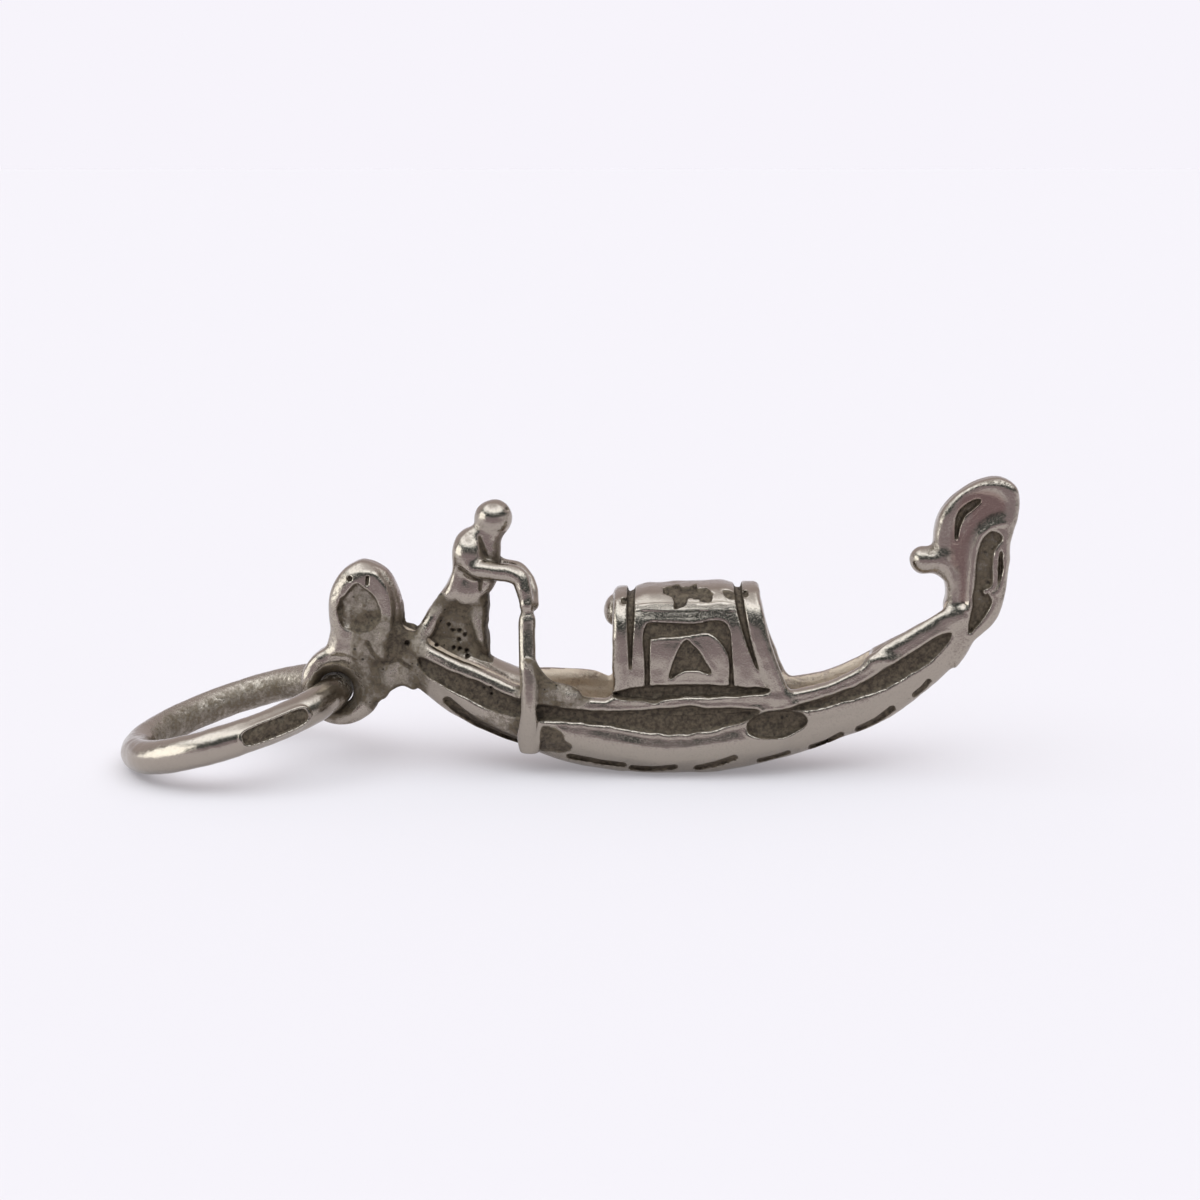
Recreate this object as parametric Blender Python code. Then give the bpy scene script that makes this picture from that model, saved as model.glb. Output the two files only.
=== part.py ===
"""A cast silver charm: a gondola with its cabin, rower, bow iron and stern scroll, on a jump ring.

Every size here is in millimetres, and the finished meshes are scaled to metres.
+X runs to the bow, +Y away from the oar's side, +Z up. The origin is the middle of the
small flat on the keel that the charm stands on.
"""
import math

import bmesh
import bpy
import numpy as np
from mathutils import Matrix, Vector

METRES = 0.001
SEAM = 0.03            # solder film between two pieces of the casting

# Hull stations, joined by a smooth curve. Columns: x, keel z, rail z, half beam
STATIONS = (
    (-7.25, 2.50, 3.94, 0.52),
    (-6.40, 1.78, 3.56, 0.80),
    (-5.30, 1.18, 3.14, 1.02),
    (-4.10, 0.72, 2.66, 1.22),
    (-2.60, 0.20, 2.42, 1.40),
    (-0.60, -0.08, 2.32, 1.50),
    (1.40, -0.05, 2.34, 1.50),
    (3.20, 0.28, 2.50, 1.36),
    (5.00, 0.86, 2.86, 1.10),
    (6.60, 1.52, 3.66, 0.86),
    (7.80, 2.40, 4.34, 0.64),
    (8.60, 3.12, 4.82, 0.48),
)
HULL_AFT, HULL_FORE = STATIONS[0][0], STATIONS[-1][0]
HULL_STEP = 0.45       # spacing of the lofted sections
HULL_FULLNESS = 2.5    # 2 is an ellipse, more is boxier
WALL = 0.36            # thickness of the hull's side
FLOOR = 1.05           # thickness of its bottom
WELL_AFT, WELL_FORE = -3.55, 6.0
WELL_RAMP = 0.5        # length over which the well's end walls rise
DECK_SEAT = 0.45       # how far a deck's seat lies below the rail's foot
DECK_LIP = 0.12        # how far a deck's edge lies below the rail's top
RAIL_WIDTH, RAIL_HEIGHT = 0.40, 0.30
RAIL_PROUD = 0.03      # how far a rail stands out past the hull's side

# Decks: crowned lids over the solid ends of the hull
AFT_DECK = (HULL_AFT, -3.85, 0.34)       # from, to, crown above the rail
FORE_DECK = (6.15, HULL_FORE, 0.16)

# Cabin
CABIN_HALF, CABIN_CROWN, CABIN_SPRING = 1.38, 5.42, 3.90
CABIN_WALL = 0.32
CABIN_BOXINESS = 3.5
ARCH_POINTS = 25
BAND_PROUD, BAND_ROUND = 0.08, 0.10
REAR_BAND = (-1.38, -0.84)               # along X, upright
FRONT_BAND = (2.32, 2.96)                # along X at the crown
FRONT_RAKE = 0.20                        # forward run for each unit of drop
ROOF_EDGE = 0.36                         # share of the arch's length where the roof starts
REAR_WALL = (-1.31, -1.0)                # along X
KNOB_X, KNOB_Z = -1.28, 4.74
KNOB_SIZES = (0.36, 0.50, 0.42)

# Bow iron: a plate in the XZ plane
IRON_HALF = 0.42
IRON_EDGE = 0.16
IRON_OUTLINE = (
    (8.63, 3.16), (8.90, 3.60), (9.10, 3.90), (9.55, 4.29), (9.88, 4.80), (10.02, 5.40),
    (10.10, 6.20), (10.15, 6.96), (10.30, 7.60), (10.32, 8.20), (10.14, 8.60), (9.72, 8.77),
    (9.20, 8.68), (8.73, 8.45), (8.24, 8.01), (7.98, 7.50), (7.90, 6.92), (7.96, 6.40),
    (8.06, 5.96), (8.26, 5.66), (8.33, 5.30), (8.32, 4.92), (8.63, 4.92),
)
TOOTH_FROM, TOOTH_TO, TOOTH_RADIUS = (8.14, 6.33), (7.64, 6.31), 0.41

# Stern: the eye that holds the ring, the scroll above it, the neck to the hull
EYE_X, EYE_Z = -9.42, 2.44
EYE_OUTER, EYE_HOLE, EYE_HALF = 1.20, 0.80, 0.46
EYE_SIDES = 36
SCROLL_HALF, SCROLL_EDGE = 0.55, 0.20
SCROLL_OUTLINE = (
    (-9.70, 3.30), (-9.72, 4.10), (-9.75, 4.80), (-9.62, 5.40), (-9.25, 5.94), (-8.72, 6.22),
    (-8.30, 6.13), (-7.96, 5.86), (-7.70, 5.36), (-7.58, 4.80), (-7.60, 4.25), (-8.05, 3.30),
)
NECK_HALF, NECK_EDGE = 0.44, 0.14
NECK_OUTLINE = (
    (-7.28, 2.44), (-7.28, 4.00), (-7.56, 4.26), (-8.60, 4.30), (-8.60, 2.00), (-8.22, 1.98),
    (-7.96, 2.30), (-7.62, 2.46),
)

# Jump ring: round wire through the eye, its far side resting on the ground
WIRE_RADIUS, RING_RADIUS = 0.50, 3.10
PIVOT_X, PIVOT_Z = -9.60, 2.30
RING_SIDES, WIRE_SIDES = 56, 12

# Rower: X, Y, Z and radius or half sizes
HEAD = (-4.88, 0.0, 7.54)
HEAD_RADIUS = 0.53
NECK_FOOT = (-5.02, 0.0, 6.72)
NECK_RADII = (0.26, 0.30)
# Columns: z, x, half x, half y
TORSO = (
    (5.08, -5.84, 0.64, 0.48),
    (5.65, -5.66, 0.53, 0.42),
    (6.15, -5.53, 0.56, 0.48),
    (6.60, -5.42, 0.64, 0.56),
    (6.95, -5.42, 0.52, 0.48),
    (7.18, -5.38, 0.28, 0.28),
)
HEM_Z = 5.05
LEG_RADIUS = 0.22
LEGS = {
    "gondolier_leg_aft": ((-6.36, -0.10, 5.20), (-6.62, -0.14, 4.62), (-7.08, -0.20, 3.70)),
    "gondolier_leg_fore": ((-5.56, 0.10, 5.20), (-5.60, 0.12, 4.60), (-5.36, 0.16, 3.30)),
}
WEB_HALF = 0.16
WEB_OUTLINE = ((-6.45, HEM_Z), (-7.05, 3.62), (-6.80, 3.20), (-5.20, 3.00), (-5.42, 3.90), (-5.62, HEM_Z))
ARM_RADIUS = 0.235
ELBOW_POINTS = 2       # rows to each span of a limb's curve
ARMS = {
    "gondolier_arm_near": ((-5.30, -0.36, 6.10), (-4.70, -0.62, 6.12), (-4.14, -0.82, 6.02),
                           (-3.94, -0.92, 5.68), (-3.92, -0.99, 4.80)),
    "gondolier_arm_far": ((-5.25, 0.34, 6.05), (-4.75, 0.30, 5.98), (-4.36, -0.05, 5.84),
                          (-4.08, -0.60, 5.60)),
}
# Columns: x, y, z, half x, half y
OAR = (
    (-3.84, -1.00, 4.77, 0.22, 0.21),
    (-3.84, -1.22, 3.90, 0.24, 0.22),
    (-3.80, -1.45, 3.00, 0.25, 0.22),
    (-3.77, -1.50, 2.20, 0.25, 0.20),
    (-3.78, -1.32, 1.45, 0.29, 0.17),
    (-3.81, -1.04, 0.78, 0.33, 0.14),
)
REST_CENTRE, REST_SIZES = (-3.38, -1.28, 2.84), (0.40, 0.22, 0.56)

SILVER = (0.77, 0.76, 0.74)
WORN_SILVER = (0.62, 0.60, 0.57)


def smooth_curve(points, steps):
    """Points on a Catmull-Rom curve: steps to each span, ends included."""
    rows = np.array(points, float)
    padded = np.vstack((2 * rows[0] - rows[1], rows, 2 * rows[-1] - rows[-2]))
    out = []
    for i in range(1, len(rows)):
        before, start, end, after = padded[i - 1:i + 3]
        for t in np.arange(steps) / steps:
            out.append(0.5 * (2 * start + (end - before) * t
                              + (2 * before - 5 * start + 4 * end - after) * t ** 2
                              + (3 * start - before - 3 * end + after) * t ** 3))
    out.append(rows[-1])
    return np.array(out)


def station(x):
    """Keel height, rail height and half beam at x, from a smooth curve through the stations."""
    rows = np.array(STATIONS)
    slopes = np.gradient(rows[:, 1:], rows[:, 0], axis=0)
    i = int(np.clip(np.searchsorted(rows[:, 0], x) - 1, 0, len(rows) - 2))
    span = rows[i + 1, 0] - rows[i, 0]
    t = (x - rows[i, 0]) / span
    return ((2 * t ** 3 - 3 * t ** 2 + 1) * rows[i, 1:] + (t ** 3 - 2 * t ** 2 + t) * span * slopes[i]
            + (3 * t ** 2 - 2 * t ** 3) * rows[i + 1, 1:] + (t ** 3 - t ** 2) * span * slopes[i + 1])


def ramp(x, start, end):
    """0 before start, 1 after end, smooth between."""
    t = min(max((x - start) / (end - start), 0.0), 1.0)
    return t * t * (3 - 2 * t)


def spaced(start, end, step):
    return np.linspace(start, end, max(2, int(round(abs(end - start) / step)) + 1))


def finish_mesh(bm, name):
    """A new object from a closed bmesh, with its faces pointing out."""
    bmesh.ops.recalc_face_normals(bm, faces=bm.faces)
    mesh = bpy.data.meshes.new(name)
    bm.to_mesh(mesh)
    bm.free()
    piece = bpy.data.objects.new(name, mesh)
    bpy.context.collection.objects.link(piece)
    return piece


def loft(name, sections):
    """A closed body through sections, which are closed loops with the same number of points."""
    bm = bmesh.new()
    loops = [[bm.verts.new(point) for point in section] for section in sections]
    count = len(loops[0])
    for one, two in zip(loops, loops[1:]):
        for k in range(count):
            bm.faces.new((one[k], one[(k + 1) % count], two[(k + 1) % count], two[k]))
    bm.faces.new(loops[0])
    bm.faces.new(reversed(loops[-1]))
    return finish_mesh(bm, name)


def plate(name, outline, half, edge=0.0):
    """An XZ outline made a plate about Y = 0, with its rims rounded by edge."""
    bm = bmesh.new()
    sides = [[bm.verts.new((x, y, z)) for x, z in outline] for y in (-half, half)]
    rims = [bm.faces.new(side) for side in sides]
    count = len(outline)
    for k in range(count):
        bm.faces.new((sides[0][k], sides[0][(k + 1) % count], sides[1][(k + 1) % count], sides[1][k]))
    if edge:
        edges = {e for face in rims for e in face.edges}
        bmesh.ops.bevel(bm, geom=list(edges), offset=edge, segments=2, profile=0.5, affect="EDGES",
                        clamp_overlap=True)
    return finish_mesh(bm, name)


def offset_outline(outline, distance):
    """The outline moved out from its middle line by distance, corner by corner."""
    points = [Vector(p) for p in outline]
    area = sum(a.x * b.y - b.x * a.y for a, b in zip(points, points[1:] + points[:1]))
    turn = 1 if area > 0 else -1
    moved = []
    for k, point in enumerate(points):
        before = (point - points[k - 1]).normalized()
        after = (points[(k + 1) % len(points)] - point).normalized()
        normal = Vector((before.y + after.y, -before.x - after.x)).normalized() * turn
        moved.append(tuple(point + normal * distance / max(0.4, normal.dot(Vector((after.y, -after.x)) * turn))))
    return moved


def rod(name, path, half_u, half_v, sides=10):
    """A bar of oval section along a path, with sizes that may change from point to point."""
    path = np.array(path, float)
    half_u = np.broadcast_to(half_u, len(path))
    half_v = np.broadcast_to(half_v, len(path))
    tangents = np.gradient(path, axis=0)
    sections = []
    for point, tangent, u_size, v_size in zip(path, tangents, half_u, half_v):
        tangent = Vector(tangent).normalized()
        v_axis = (Vector((0, 1, 0)) - tangent * tangent.y).normalized()
        u_axis = v_axis.cross(tangent)
        sections.append([Vector(point) + u_axis * u_size * math.cos(a) + v_axis * v_size * math.sin(a)
                         for a in np.arange(sides) * 2 * math.pi / sides])
    return loft(name, sections)


def ball(name, centre, sizes, segments=18, rings=12):
    bm = bmesh.new()
    bmesh.ops.create_uvsphere(bm, u_segments=segments, v_segments=rings, radius=1.0)
    bmesh.ops.transform(bm, matrix=Matrix.Translation(centre) @ Matrix.Diagonal((*sizes, 1)), verts=bm.verts)
    return finish_mesh(bm, name)


def box(name, low, high):
    bm = bmesh.new()
    bmesh.ops.create_cube(bm, size=1.0)
    low, high = Vector(low), Vector(high)
    bmesh.ops.transform(bm, matrix=Matrix.Translation((low + high) / 2) @ Matrix.Diagonal((*(high - low), 1)),
                        verts=bm.verts)
    return finish_mesh(bm, name)


def combine(piece, others, operation="DIFFERENCE"):
    """Cut or join piece with others, which are used up."""
    for other in others:
        modifier = piece.modifiers.new("combine", "BOOLEAN")
        modifier.object, modifier.operation, modifier.solver = other, operation, "EXACT"
        graph = bpy.context.evaluated_depsgraph_get()
        mesh = bpy.data.meshes.new_from_object(piece.evaluated_get(graph))
        piece.modifiers.clear()
        piece.data = mesh
        bpy.data.objects.remove(other, do_unlink=True)
    return piece


# Hull

def bowl(x, half, top, bottom, angles):
    """Points at x down one side of a full-bellied curve and up the other."""
    power = 2 / HULL_FULLNESS
    return [(x, -half * math.copysign(abs(math.cos(a)) ** power, math.cos(a)),
             top - (top - bottom) * abs(math.sin(a)) ** power) for a in angles]


def hull_section(x, grow=0.0):
    """The hull's U at x: down the near side, up the far side, and back along the well."""
    keel, rail, beam = station(x)
    rim = rail - RAIL_HEIGHT - SEAM
    well = ramp(x, WELL_AFT - WELL_RAMP, WELL_AFT) * (1 - ramp(x, WELL_FORE, WELL_FORE + WELL_RAMP))
    floor = (rim - DECK_SEAT) * (1 - well) + (max(keel, 0.0) + FLOOR) * well
    floor = min(floor, rim - DECK_SEAT)
    outer = bowl(x, beam + grow, rim + grow, keel - grow, np.linspace(0, math.pi, 17))
    outer = [(px, py, max(pz, -grow)) for px, py, pz in outer]
    if grow:
        return outer
    return outer + bowl(x, beam - WALL, rim, floor, np.linspace(math.pi, 0, 11))


def hull(name, grow=0.0):
    return loft(name, [hull_section(x, grow) for x in spaced(HULL_AFT, HULL_FORE, HULL_STEP)])


def rail_path(side):
    rows = []
    for x in spaced(HULL_AFT, HULL_FORE, HULL_STEP):
        keel, rail, beam = station(x)
        rows.append((x, side * (beam - RAIL_WIDTH / 2 + RAIL_PROUD), rail - RAIL_HEIGHT / 2))
    return rows


def rail(name, side, grow=0.0):
    """A round-topped bar along the hull's rim."""
    half_width, half_height = RAIL_WIDTH / 2 + grow, RAIL_HEIGHT / 2 + grow
    corners = ((-1, -1), (1, -1), (1, 0.3), (0.6, 0.9), (0, 1.0), (-0.6, 0.9), (-1, 0.3))
    return loft(name, [[(x, y + a * half_width, z + b * half_height) for a, b in corners]
                       for x, y, z in rail_path(side)])


def deck(name, start, end, crown, grow=0.0):
    """A crowned lid between the rails, seated in the top of the hull."""
    sections = []
    for x in spaced(start, end, HULL_STEP):
        keel, rail_z, beam = station(x)
        half = beam - WALL - SEAM - RAIL_PROUD / 3 + grow
        rim = rail_z - RAIL_HEIGHT
        lip = rail_z - DECK_LIP
        top = [(x, half * math.cos(a), lip + (rail_z + crown + grow - lip) * math.sin(a))
               for a in np.linspace(0, math.pi, 9)]
        sections.append(top + bowl(x, half, rim, rim - DECK_SEAT + SEAM, np.linspace(0, math.pi, 9)))
    return loft(name, sections)


# Cabin

def arch(half, crown, base):
    """Points up the near side, over the crown and down the far side."""
    power = 2 / CABIN_BOXINESS
    over = [(-half * math.copysign(abs(math.cos(a)) ** power, math.cos(a)),
             CABIN_SPRING + (crown - CABIN_SPRING) * abs(math.sin(a)) ** power)
            for a in np.linspace(0, math.pi, ARCH_POINTS)]
    return np.array([(-half, base)] + over + [(half, base)])


def part_of(curve, start, end, count):
    """Points evenly spaced from one share of a curve's length to another."""
    run = np.concatenate(([0], np.cumsum(np.linalg.norm(np.diff(curve, axis=0), axis=1))))
    at = np.linspace(start * run[-1], end * run[-1], count)
    return np.column_stack([np.interp(at, run, curve[:, k]) for k in range(2)])


def strip(curve, start, end, count, thickness):
    """A loop in YZ: a stretch of an arch and the same stretch one thickness further in."""
    outer = part_of(curve, start, end, count)
    slope = np.gradient(part_of(curve, 0, 1, 400), axis=0)
    shares = np.linspace(start, end, count)
    tangent = np.column_stack([np.interp(shares, np.linspace(0, 1, 400), slope[:, k]) for k in range(2)])
    tangent /= np.linalg.norm(tangent, axis=1)[:, None]
    inner = outer + np.column_stack((tangent[:, 1], -tangent[:, 0])) * thickness
    return np.vstack((outer, inner[::-1]))


def front_x(x, z):
    """Lean the front of the cabin: lower points stand further forward."""
    return x + (CABIN_CROWN - z) * FRONT_RAKE


def cabin_panel(name, start, end, count, trim_start=0.0, trim_end=0.0):
    """A wall or roof panel between the two bands, as a share of the arch."""
    length = np.linalg.norm(np.diff(arch(CABIN_HALF, CABIN_CROWN, 2.4), axis=0), axis=1).sum()
    sections = []
    for share in np.linspace(0, 1, 7):
        base_x = REAR_BAND[1] + SEAM + (FRONT_BAND[0] - SEAM - REAR_BAND[1] - SEAM) * share
        base = station(base_x)[1] + SEAM
        loop = strip(arch(CABIN_HALF, CABIN_CROWN, base), start + trim_start / length,
                     end - trim_end / length, count, CABIN_WALL)
        sections.append([(base_x + (front_x(0, z)) * share, y, z) for y, z in loop])
    return loft(name, sections)


def cabin_band(name, reach, leans):
    """A half-round hoop over the cabin."""
    sections = []
    for share, inset in ((0, BAND_ROUND), (0.2, 0.02), (0.5, 0.0), (0.8, 0.02), (1, BAND_ROUND)):
        x = reach[0] + (reach[1] - reach[0]) * share
        half, crown = CABIN_HALF + BAND_PROUD - inset, CABIN_CROWN + BAND_PROUD - inset
        foot_x = front_x(x, 2.5) if leans else x
        base = station(foot_x)[1] + SEAM
        loop = strip(arch(half, crown, base), 0.0, 1.0, ARCH_POINTS, CABIN_WALL + BAND_PROUD - inset)
        sections.append([(front_x(x, z) if leans else x, y, z) for y, z in loop])
    return loft(name, sections)


def cabin_rear_wall(name):
    """The plate that closes the cabin's aft end, with its round knob."""
    inside = arch(CABIN_HALF - CABIN_WALL - SEAM, CABIN_CROWN - CABIN_WALL - SEAM, 2.0)
    wall = loft(name, [[(x, y, z) for y, z in inside] for x in REAR_WALL])
    return combine(wall, [ball("knob", (KNOB_X, 0, KNOB_Z), KNOB_SIZES)], "UNION")


# Bow and stern

def bow_tooth(name):
    path = smooth_curve([(x, 0, z) for x, z in (TOOTH_FROM, TOOTH_TO)], 3)
    tip = ball("tip", (TOOTH_TO[0], 0, TOOTH_TO[1]), (TOOTH_RADIUS,) * 3, 14, 10)
    tooth = combine(rod(name, path, TOOTH_RADIUS * 0.92, TOOTH_RADIUS * 0.92, 14), [tip], "UNION")
    return combine(tooth, [plate("iron_cutter", offset_outline(IRON_OUTLINE, SEAM), 2.0)])


def circle(x, z, radius, count=EYE_SIDES):
    return [(x + radius * math.cos(a), z + radius * math.sin(a)) for a in np.arange(count) * 2 * math.pi / count]


def stern_eye(name):
    """A thick round eye with softened rims."""
    profile = ((EYE_HOLE, 0.6), (EYE_HOLE + 0.06, 0.9), (EYE_HOLE + 0.16, 1.0), (EYE_OUTER - 0.16, 1.0),
               (EYE_OUTER - 0.05, 0.85), (EYE_OUTER, 0.5))
    loop = [(r, h * EYE_HALF) for r, h in profile] + [(r, -h * EYE_HALF) for r, h in reversed(profile)]
    bm = bmesh.new()
    rings = []
    for a in np.arange(EYE_SIDES) * 2 * math.pi / EYE_SIDES:
        rings.append([bm.verts.new((EYE_X + r * math.cos(a), y, EYE_Z + r * math.sin(a))) for r, y in loop])
    for one, two in zip(rings, rings[1:] + rings[:1]):
        for k in range(len(loop)):
            bm.faces.new((one[k], one[(k + 1) % len(loop)], two[(k + 1) % len(loop)], two[k]))
    return finish_mesh(bm, name)


def eye_cutter():
    return plate("eye_cutter", circle(EYE_X, EYE_Z, EYE_OUTER + SEAM), 2.0)


def stern_scroll(name):
    return combine(plate(name, SCROLL_OUTLINE, SCROLL_HALF, SCROLL_EDGE), [eye_cutter()])


def stern_neck(name):
    neck = plate(name, NECK_OUTLINE, NECK_HALF, NECK_EDGE)
    return combine(neck, [eye_cutter(), plate("scroll_cutter", offset_outline(SCROLL_OUTLINE, SEAM), 2.0)])


def jump_ring(name):
    """Round wire, hung through the eye and swung down until its far side touches the ground."""
    dip = math.asin((PIVOT_Z - WIRE_RADIUS) / (2 * RING_RADIUS))
    out = Vector((-math.cos(dip), 0, -math.sin(dip)))
    up = Vector((-math.sin(dip), 0, math.cos(dip)))
    bm = bmesh.new()
    rings = []
    for a in np.arange(RING_SIDES) * 2 * math.pi / RING_SIDES:
        away = out * math.cos(a) + Vector((0, math.sin(a), 0))
        centre = out * RING_RADIUS + away * RING_RADIUS
        rings.append([bm.verts.new(centre + (away * math.cos(b) + up * math.sin(b)) * WIRE_RADIUS)
                      for b in np.arange(WIRE_SIDES) * 2 * math.pi / WIRE_SIDES])
    for one, two in zip(rings, rings[1:] + rings[:1]):
        for k in range(WIRE_SIDES):
            bm.faces.new((one[k], one[(k + 1) % WIRE_SIDES], two[(k + 1) % WIRE_SIDES], two[k]))
    ring = finish_mesh(bm, name)
    ring.location = (PIVOT_X, 0, PIVOT_Z)
    return ring


# Rower and oar

def torso(name, grow=0.0):
    sections = []
    for z, x, half_x, half_y in smooth_curve(TORSO, 2):
        sections.append([(x + (half_x + grow) * math.cos(a), (half_y + grow) * math.sin(a), z)
                         for a in np.arange(16) * 2 * math.pi / 16])
    if grow:
        sections[0] = [(x, y, z - grow) for x, y, z in sections[0]]
        sections[-1] = [(x, y, z + grow) for x, y, z in sections[-1]]
    return loft(name, sections)


def gondolier_head(name):
    head = ball(name, HEAD, (HEAD_RADIUS,) * 3)
    neck = rod("neck", (NECK_FOOT, HEAD), NECK_RADII, NECK_RADII, 12)
    return combine(combine(head, [neck], "UNION"), [torso("torso_cutter", SEAM)])


def leg(name, grow=0.0):
    path = smooth_curve(LEGS[name], ELBOW_POINTS)
    return rod(name + "_cutter" if grow else name, path, LEG_RADIUS + grow, LEG_RADIUS + grow)


def above_hem():
    return box("hem_cutter", (-8, -2, HEM_Z), (-4, 2, 8))


def aft_deck_cutter():
    return deck("deck_cutter", AFT_DECK[0] - 0.2, AFT_DECK[1], AFT_DECK[2], SEAM)


def standing_leg(name):
    return combine(leg(name), [above_hem(), aft_deck_cutter()])


def gondolier_web(name):
    web = plate(name, WEB_OUTLINE, WEB_HALF)
    return combine(web, [aft_deck_cutter()] + [leg(key, SEAM) for key in LEGS])


def arm(name, grow=0.0):
    path = smooth_curve(ARMS[name], ELBOW_POINTS)
    return rod(name + "_cutter" if grow else name, path, ARM_RADIUS + grow, ARM_RADIUS + grow)


def oar(name, grow=0.0):
    rows = smooth_curve(OAR, 3)
    return rod(name, rows[:, :3], rows[:, 3] + grow, rows[:, 4] + grow, 12)


def hull_cutters():
    return [hull("hull_cutter", SEAM), rail("rail_cutter", -1, SEAM)]


def oar_rest(name):
    """The lump of metal where the oar leans on the rail."""
    rest = ball(name, REST_CENTRE, REST_SIZES, 16, 12)
    return combine(rest, hull_cutters() + [aft_deck_cutter(), oar("oar_cutter", SEAM)])


def silver(name, colour, roughness):
    material = bpy.data.materials.new(name)
    material.use_nodes = True
    shader = material.node_tree.nodes["Principled BSDF"]
    shader.inputs["Base Color"].default_value = (*colour, 1)
    shader.inputs["Metallic"].default_value = 1.0
    shader.inputs["Roughness"].default_value = roughness
    return material


def build():
    for thing in list(bpy.data.objects):
        bpy.data.objects.remove(thing, do_unlink=True)
    roof = (ROOF_EDGE, 1 - ROOF_EDGE)
    pieces = [
        hull("hull_shell"),
        rail("gunwale_near", -1),
        rail("gunwale_far", 1),
        deck("aft_deck", *AFT_DECK),
        deck("fore_deck", *FORE_DECK),
        plate("bow_iron", IRON_OUTLINE, IRON_HALF, IRON_EDGE),
        bow_tooth("bow_tooth"),
        stern_eye("stern_eye"),
        stern_scroll("stern_scroll"),
        stern_neck("stern_neck"),
        cabin_panel("cabin_side_near", 0.0, roof[0], 9, trim_end=SEAM / 2),
        cabin_panel("cabin_roof", *roof, 11, trim_start=SEAM / 2, trim_end=SEAM / 2),
        cabin_panel("cabin_side_far", roof[1], 1.0, 9, trim_start=SEAM / 2),
        cabin_band("cabin_rear_band", REAR_BAND, False),
        cabin_band("cabin_front_band", FRONT_BAND, True),
        cabin_rear_wall("cabin_rear_wall"),
        gondolier_head("gondolier_head"),
        torso("gondolier_torso"),
        combine(arm("gondolier_arm_near"), [torso("torso_cutter", SEAM)]),
        combine(arm("gondolier_arm_far"), [torso("torso_cutter", SEAM), arm("gondolier_arm_near", SEAM)]),
        gondolier_web("gondolier_web"),
        combine(oar("oar"), hull_cutters() + [arm("gondolier_arm_near", SEAM)]),
        oar_rest("oar_rest"),
        jump_ring("jump_ring"),
    ] + [standing_leg(name) for name in LEGS]
    for piece in pieces:
        colour = WORN_SILVER if piece.name in ("gondolier_web", "stern_neck", "hull_shell") else SILVER
        material = silver(piece.name, colour, 0.28)
        piece.data.materials.clear()
        piece.data.materials.append(material)
        piece.data.transform(Matrix.Scale(METRES, 4))
        piece.location *= METRES
        piece.data.shade_smooth()
        piece.data.set_sharp_from_angle(angle=math.radians(40))


build()
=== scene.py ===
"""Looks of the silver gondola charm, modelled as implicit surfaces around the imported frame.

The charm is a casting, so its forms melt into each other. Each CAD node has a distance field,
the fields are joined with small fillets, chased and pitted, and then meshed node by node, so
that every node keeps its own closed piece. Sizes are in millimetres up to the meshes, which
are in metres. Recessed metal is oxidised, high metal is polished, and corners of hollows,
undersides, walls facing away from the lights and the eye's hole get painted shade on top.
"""
import math
from functools import partial

import bpy
import numpy as np
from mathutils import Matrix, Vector


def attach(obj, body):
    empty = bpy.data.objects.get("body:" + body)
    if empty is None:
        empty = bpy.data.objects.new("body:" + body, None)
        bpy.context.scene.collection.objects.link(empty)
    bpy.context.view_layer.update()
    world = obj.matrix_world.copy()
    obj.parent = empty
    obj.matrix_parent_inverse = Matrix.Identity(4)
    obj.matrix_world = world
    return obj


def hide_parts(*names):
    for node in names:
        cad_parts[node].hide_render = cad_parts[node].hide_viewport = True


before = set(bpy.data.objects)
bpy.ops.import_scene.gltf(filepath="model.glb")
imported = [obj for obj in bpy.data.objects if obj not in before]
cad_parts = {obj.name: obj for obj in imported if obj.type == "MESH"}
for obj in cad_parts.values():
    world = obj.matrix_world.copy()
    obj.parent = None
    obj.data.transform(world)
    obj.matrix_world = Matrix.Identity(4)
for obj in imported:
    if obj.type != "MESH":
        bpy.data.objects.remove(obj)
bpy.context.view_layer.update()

METRES = 0.001
CELL = 0.05  # mesh cell
REACH = 0.6  # how far from its own box a field is worked out in full
MARGIN = 0.25  # how far a node's mesh may reach out of its box
OVERLAP = 0.08  # how far two neighbouring pieces run under each other
SINK = 0.35  # slope at which a piece sinks below its neighbour there

# Hull stations: x, keel z, rail z, half beam
STATIONS = np.array((
    (-7.70, 2.95, 4.12, 0.36),
    (-7.25, 2.50, 3.94, 0.50),
    (-6.40, 1.78, 3.56, 0.80),
    (-5.30, 1.18, 3.14, 1.02),
    (-4.10, 0.72, 2.66, 1.22),
    (-2.60, 0.20, 2.42, 1.40),
    (-0.60, -0.08, 2.32, 1.50),
    (1.40, -0.05, 2.34, 1.50),
    (3.20, 0.28, 2.50, 1.36),
    (5.00, 0.86, 2.86, 1.10),
    (6.60, 1.52, 3.68, 0.86),
    (7.80, 2.40, 4.36, 0.64),
    (8.60, 3.14, 4.84, 0.45),
    (9.20, 3.80, 5.20, 0.27),
))
HULL_AFT, HULL_FORE, HULL_ENDS = -7.60, 9.10, 0.25  # both ends, and how round they are
HULL_FULLNESS = 3.0
WALL, FLOOR = 0.36, 1.05
WELL_AFT, WELL_FORE, WELL_RAMP = -3.55, 6.0, 0.5
RAIL_WIDTH, RAIL_HEIGHT, RAIL_PROUD = 0.44, 0.46, 0.06
RAIL_SEAT = 0.16  # how far the shell reaches up into the rails
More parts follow.
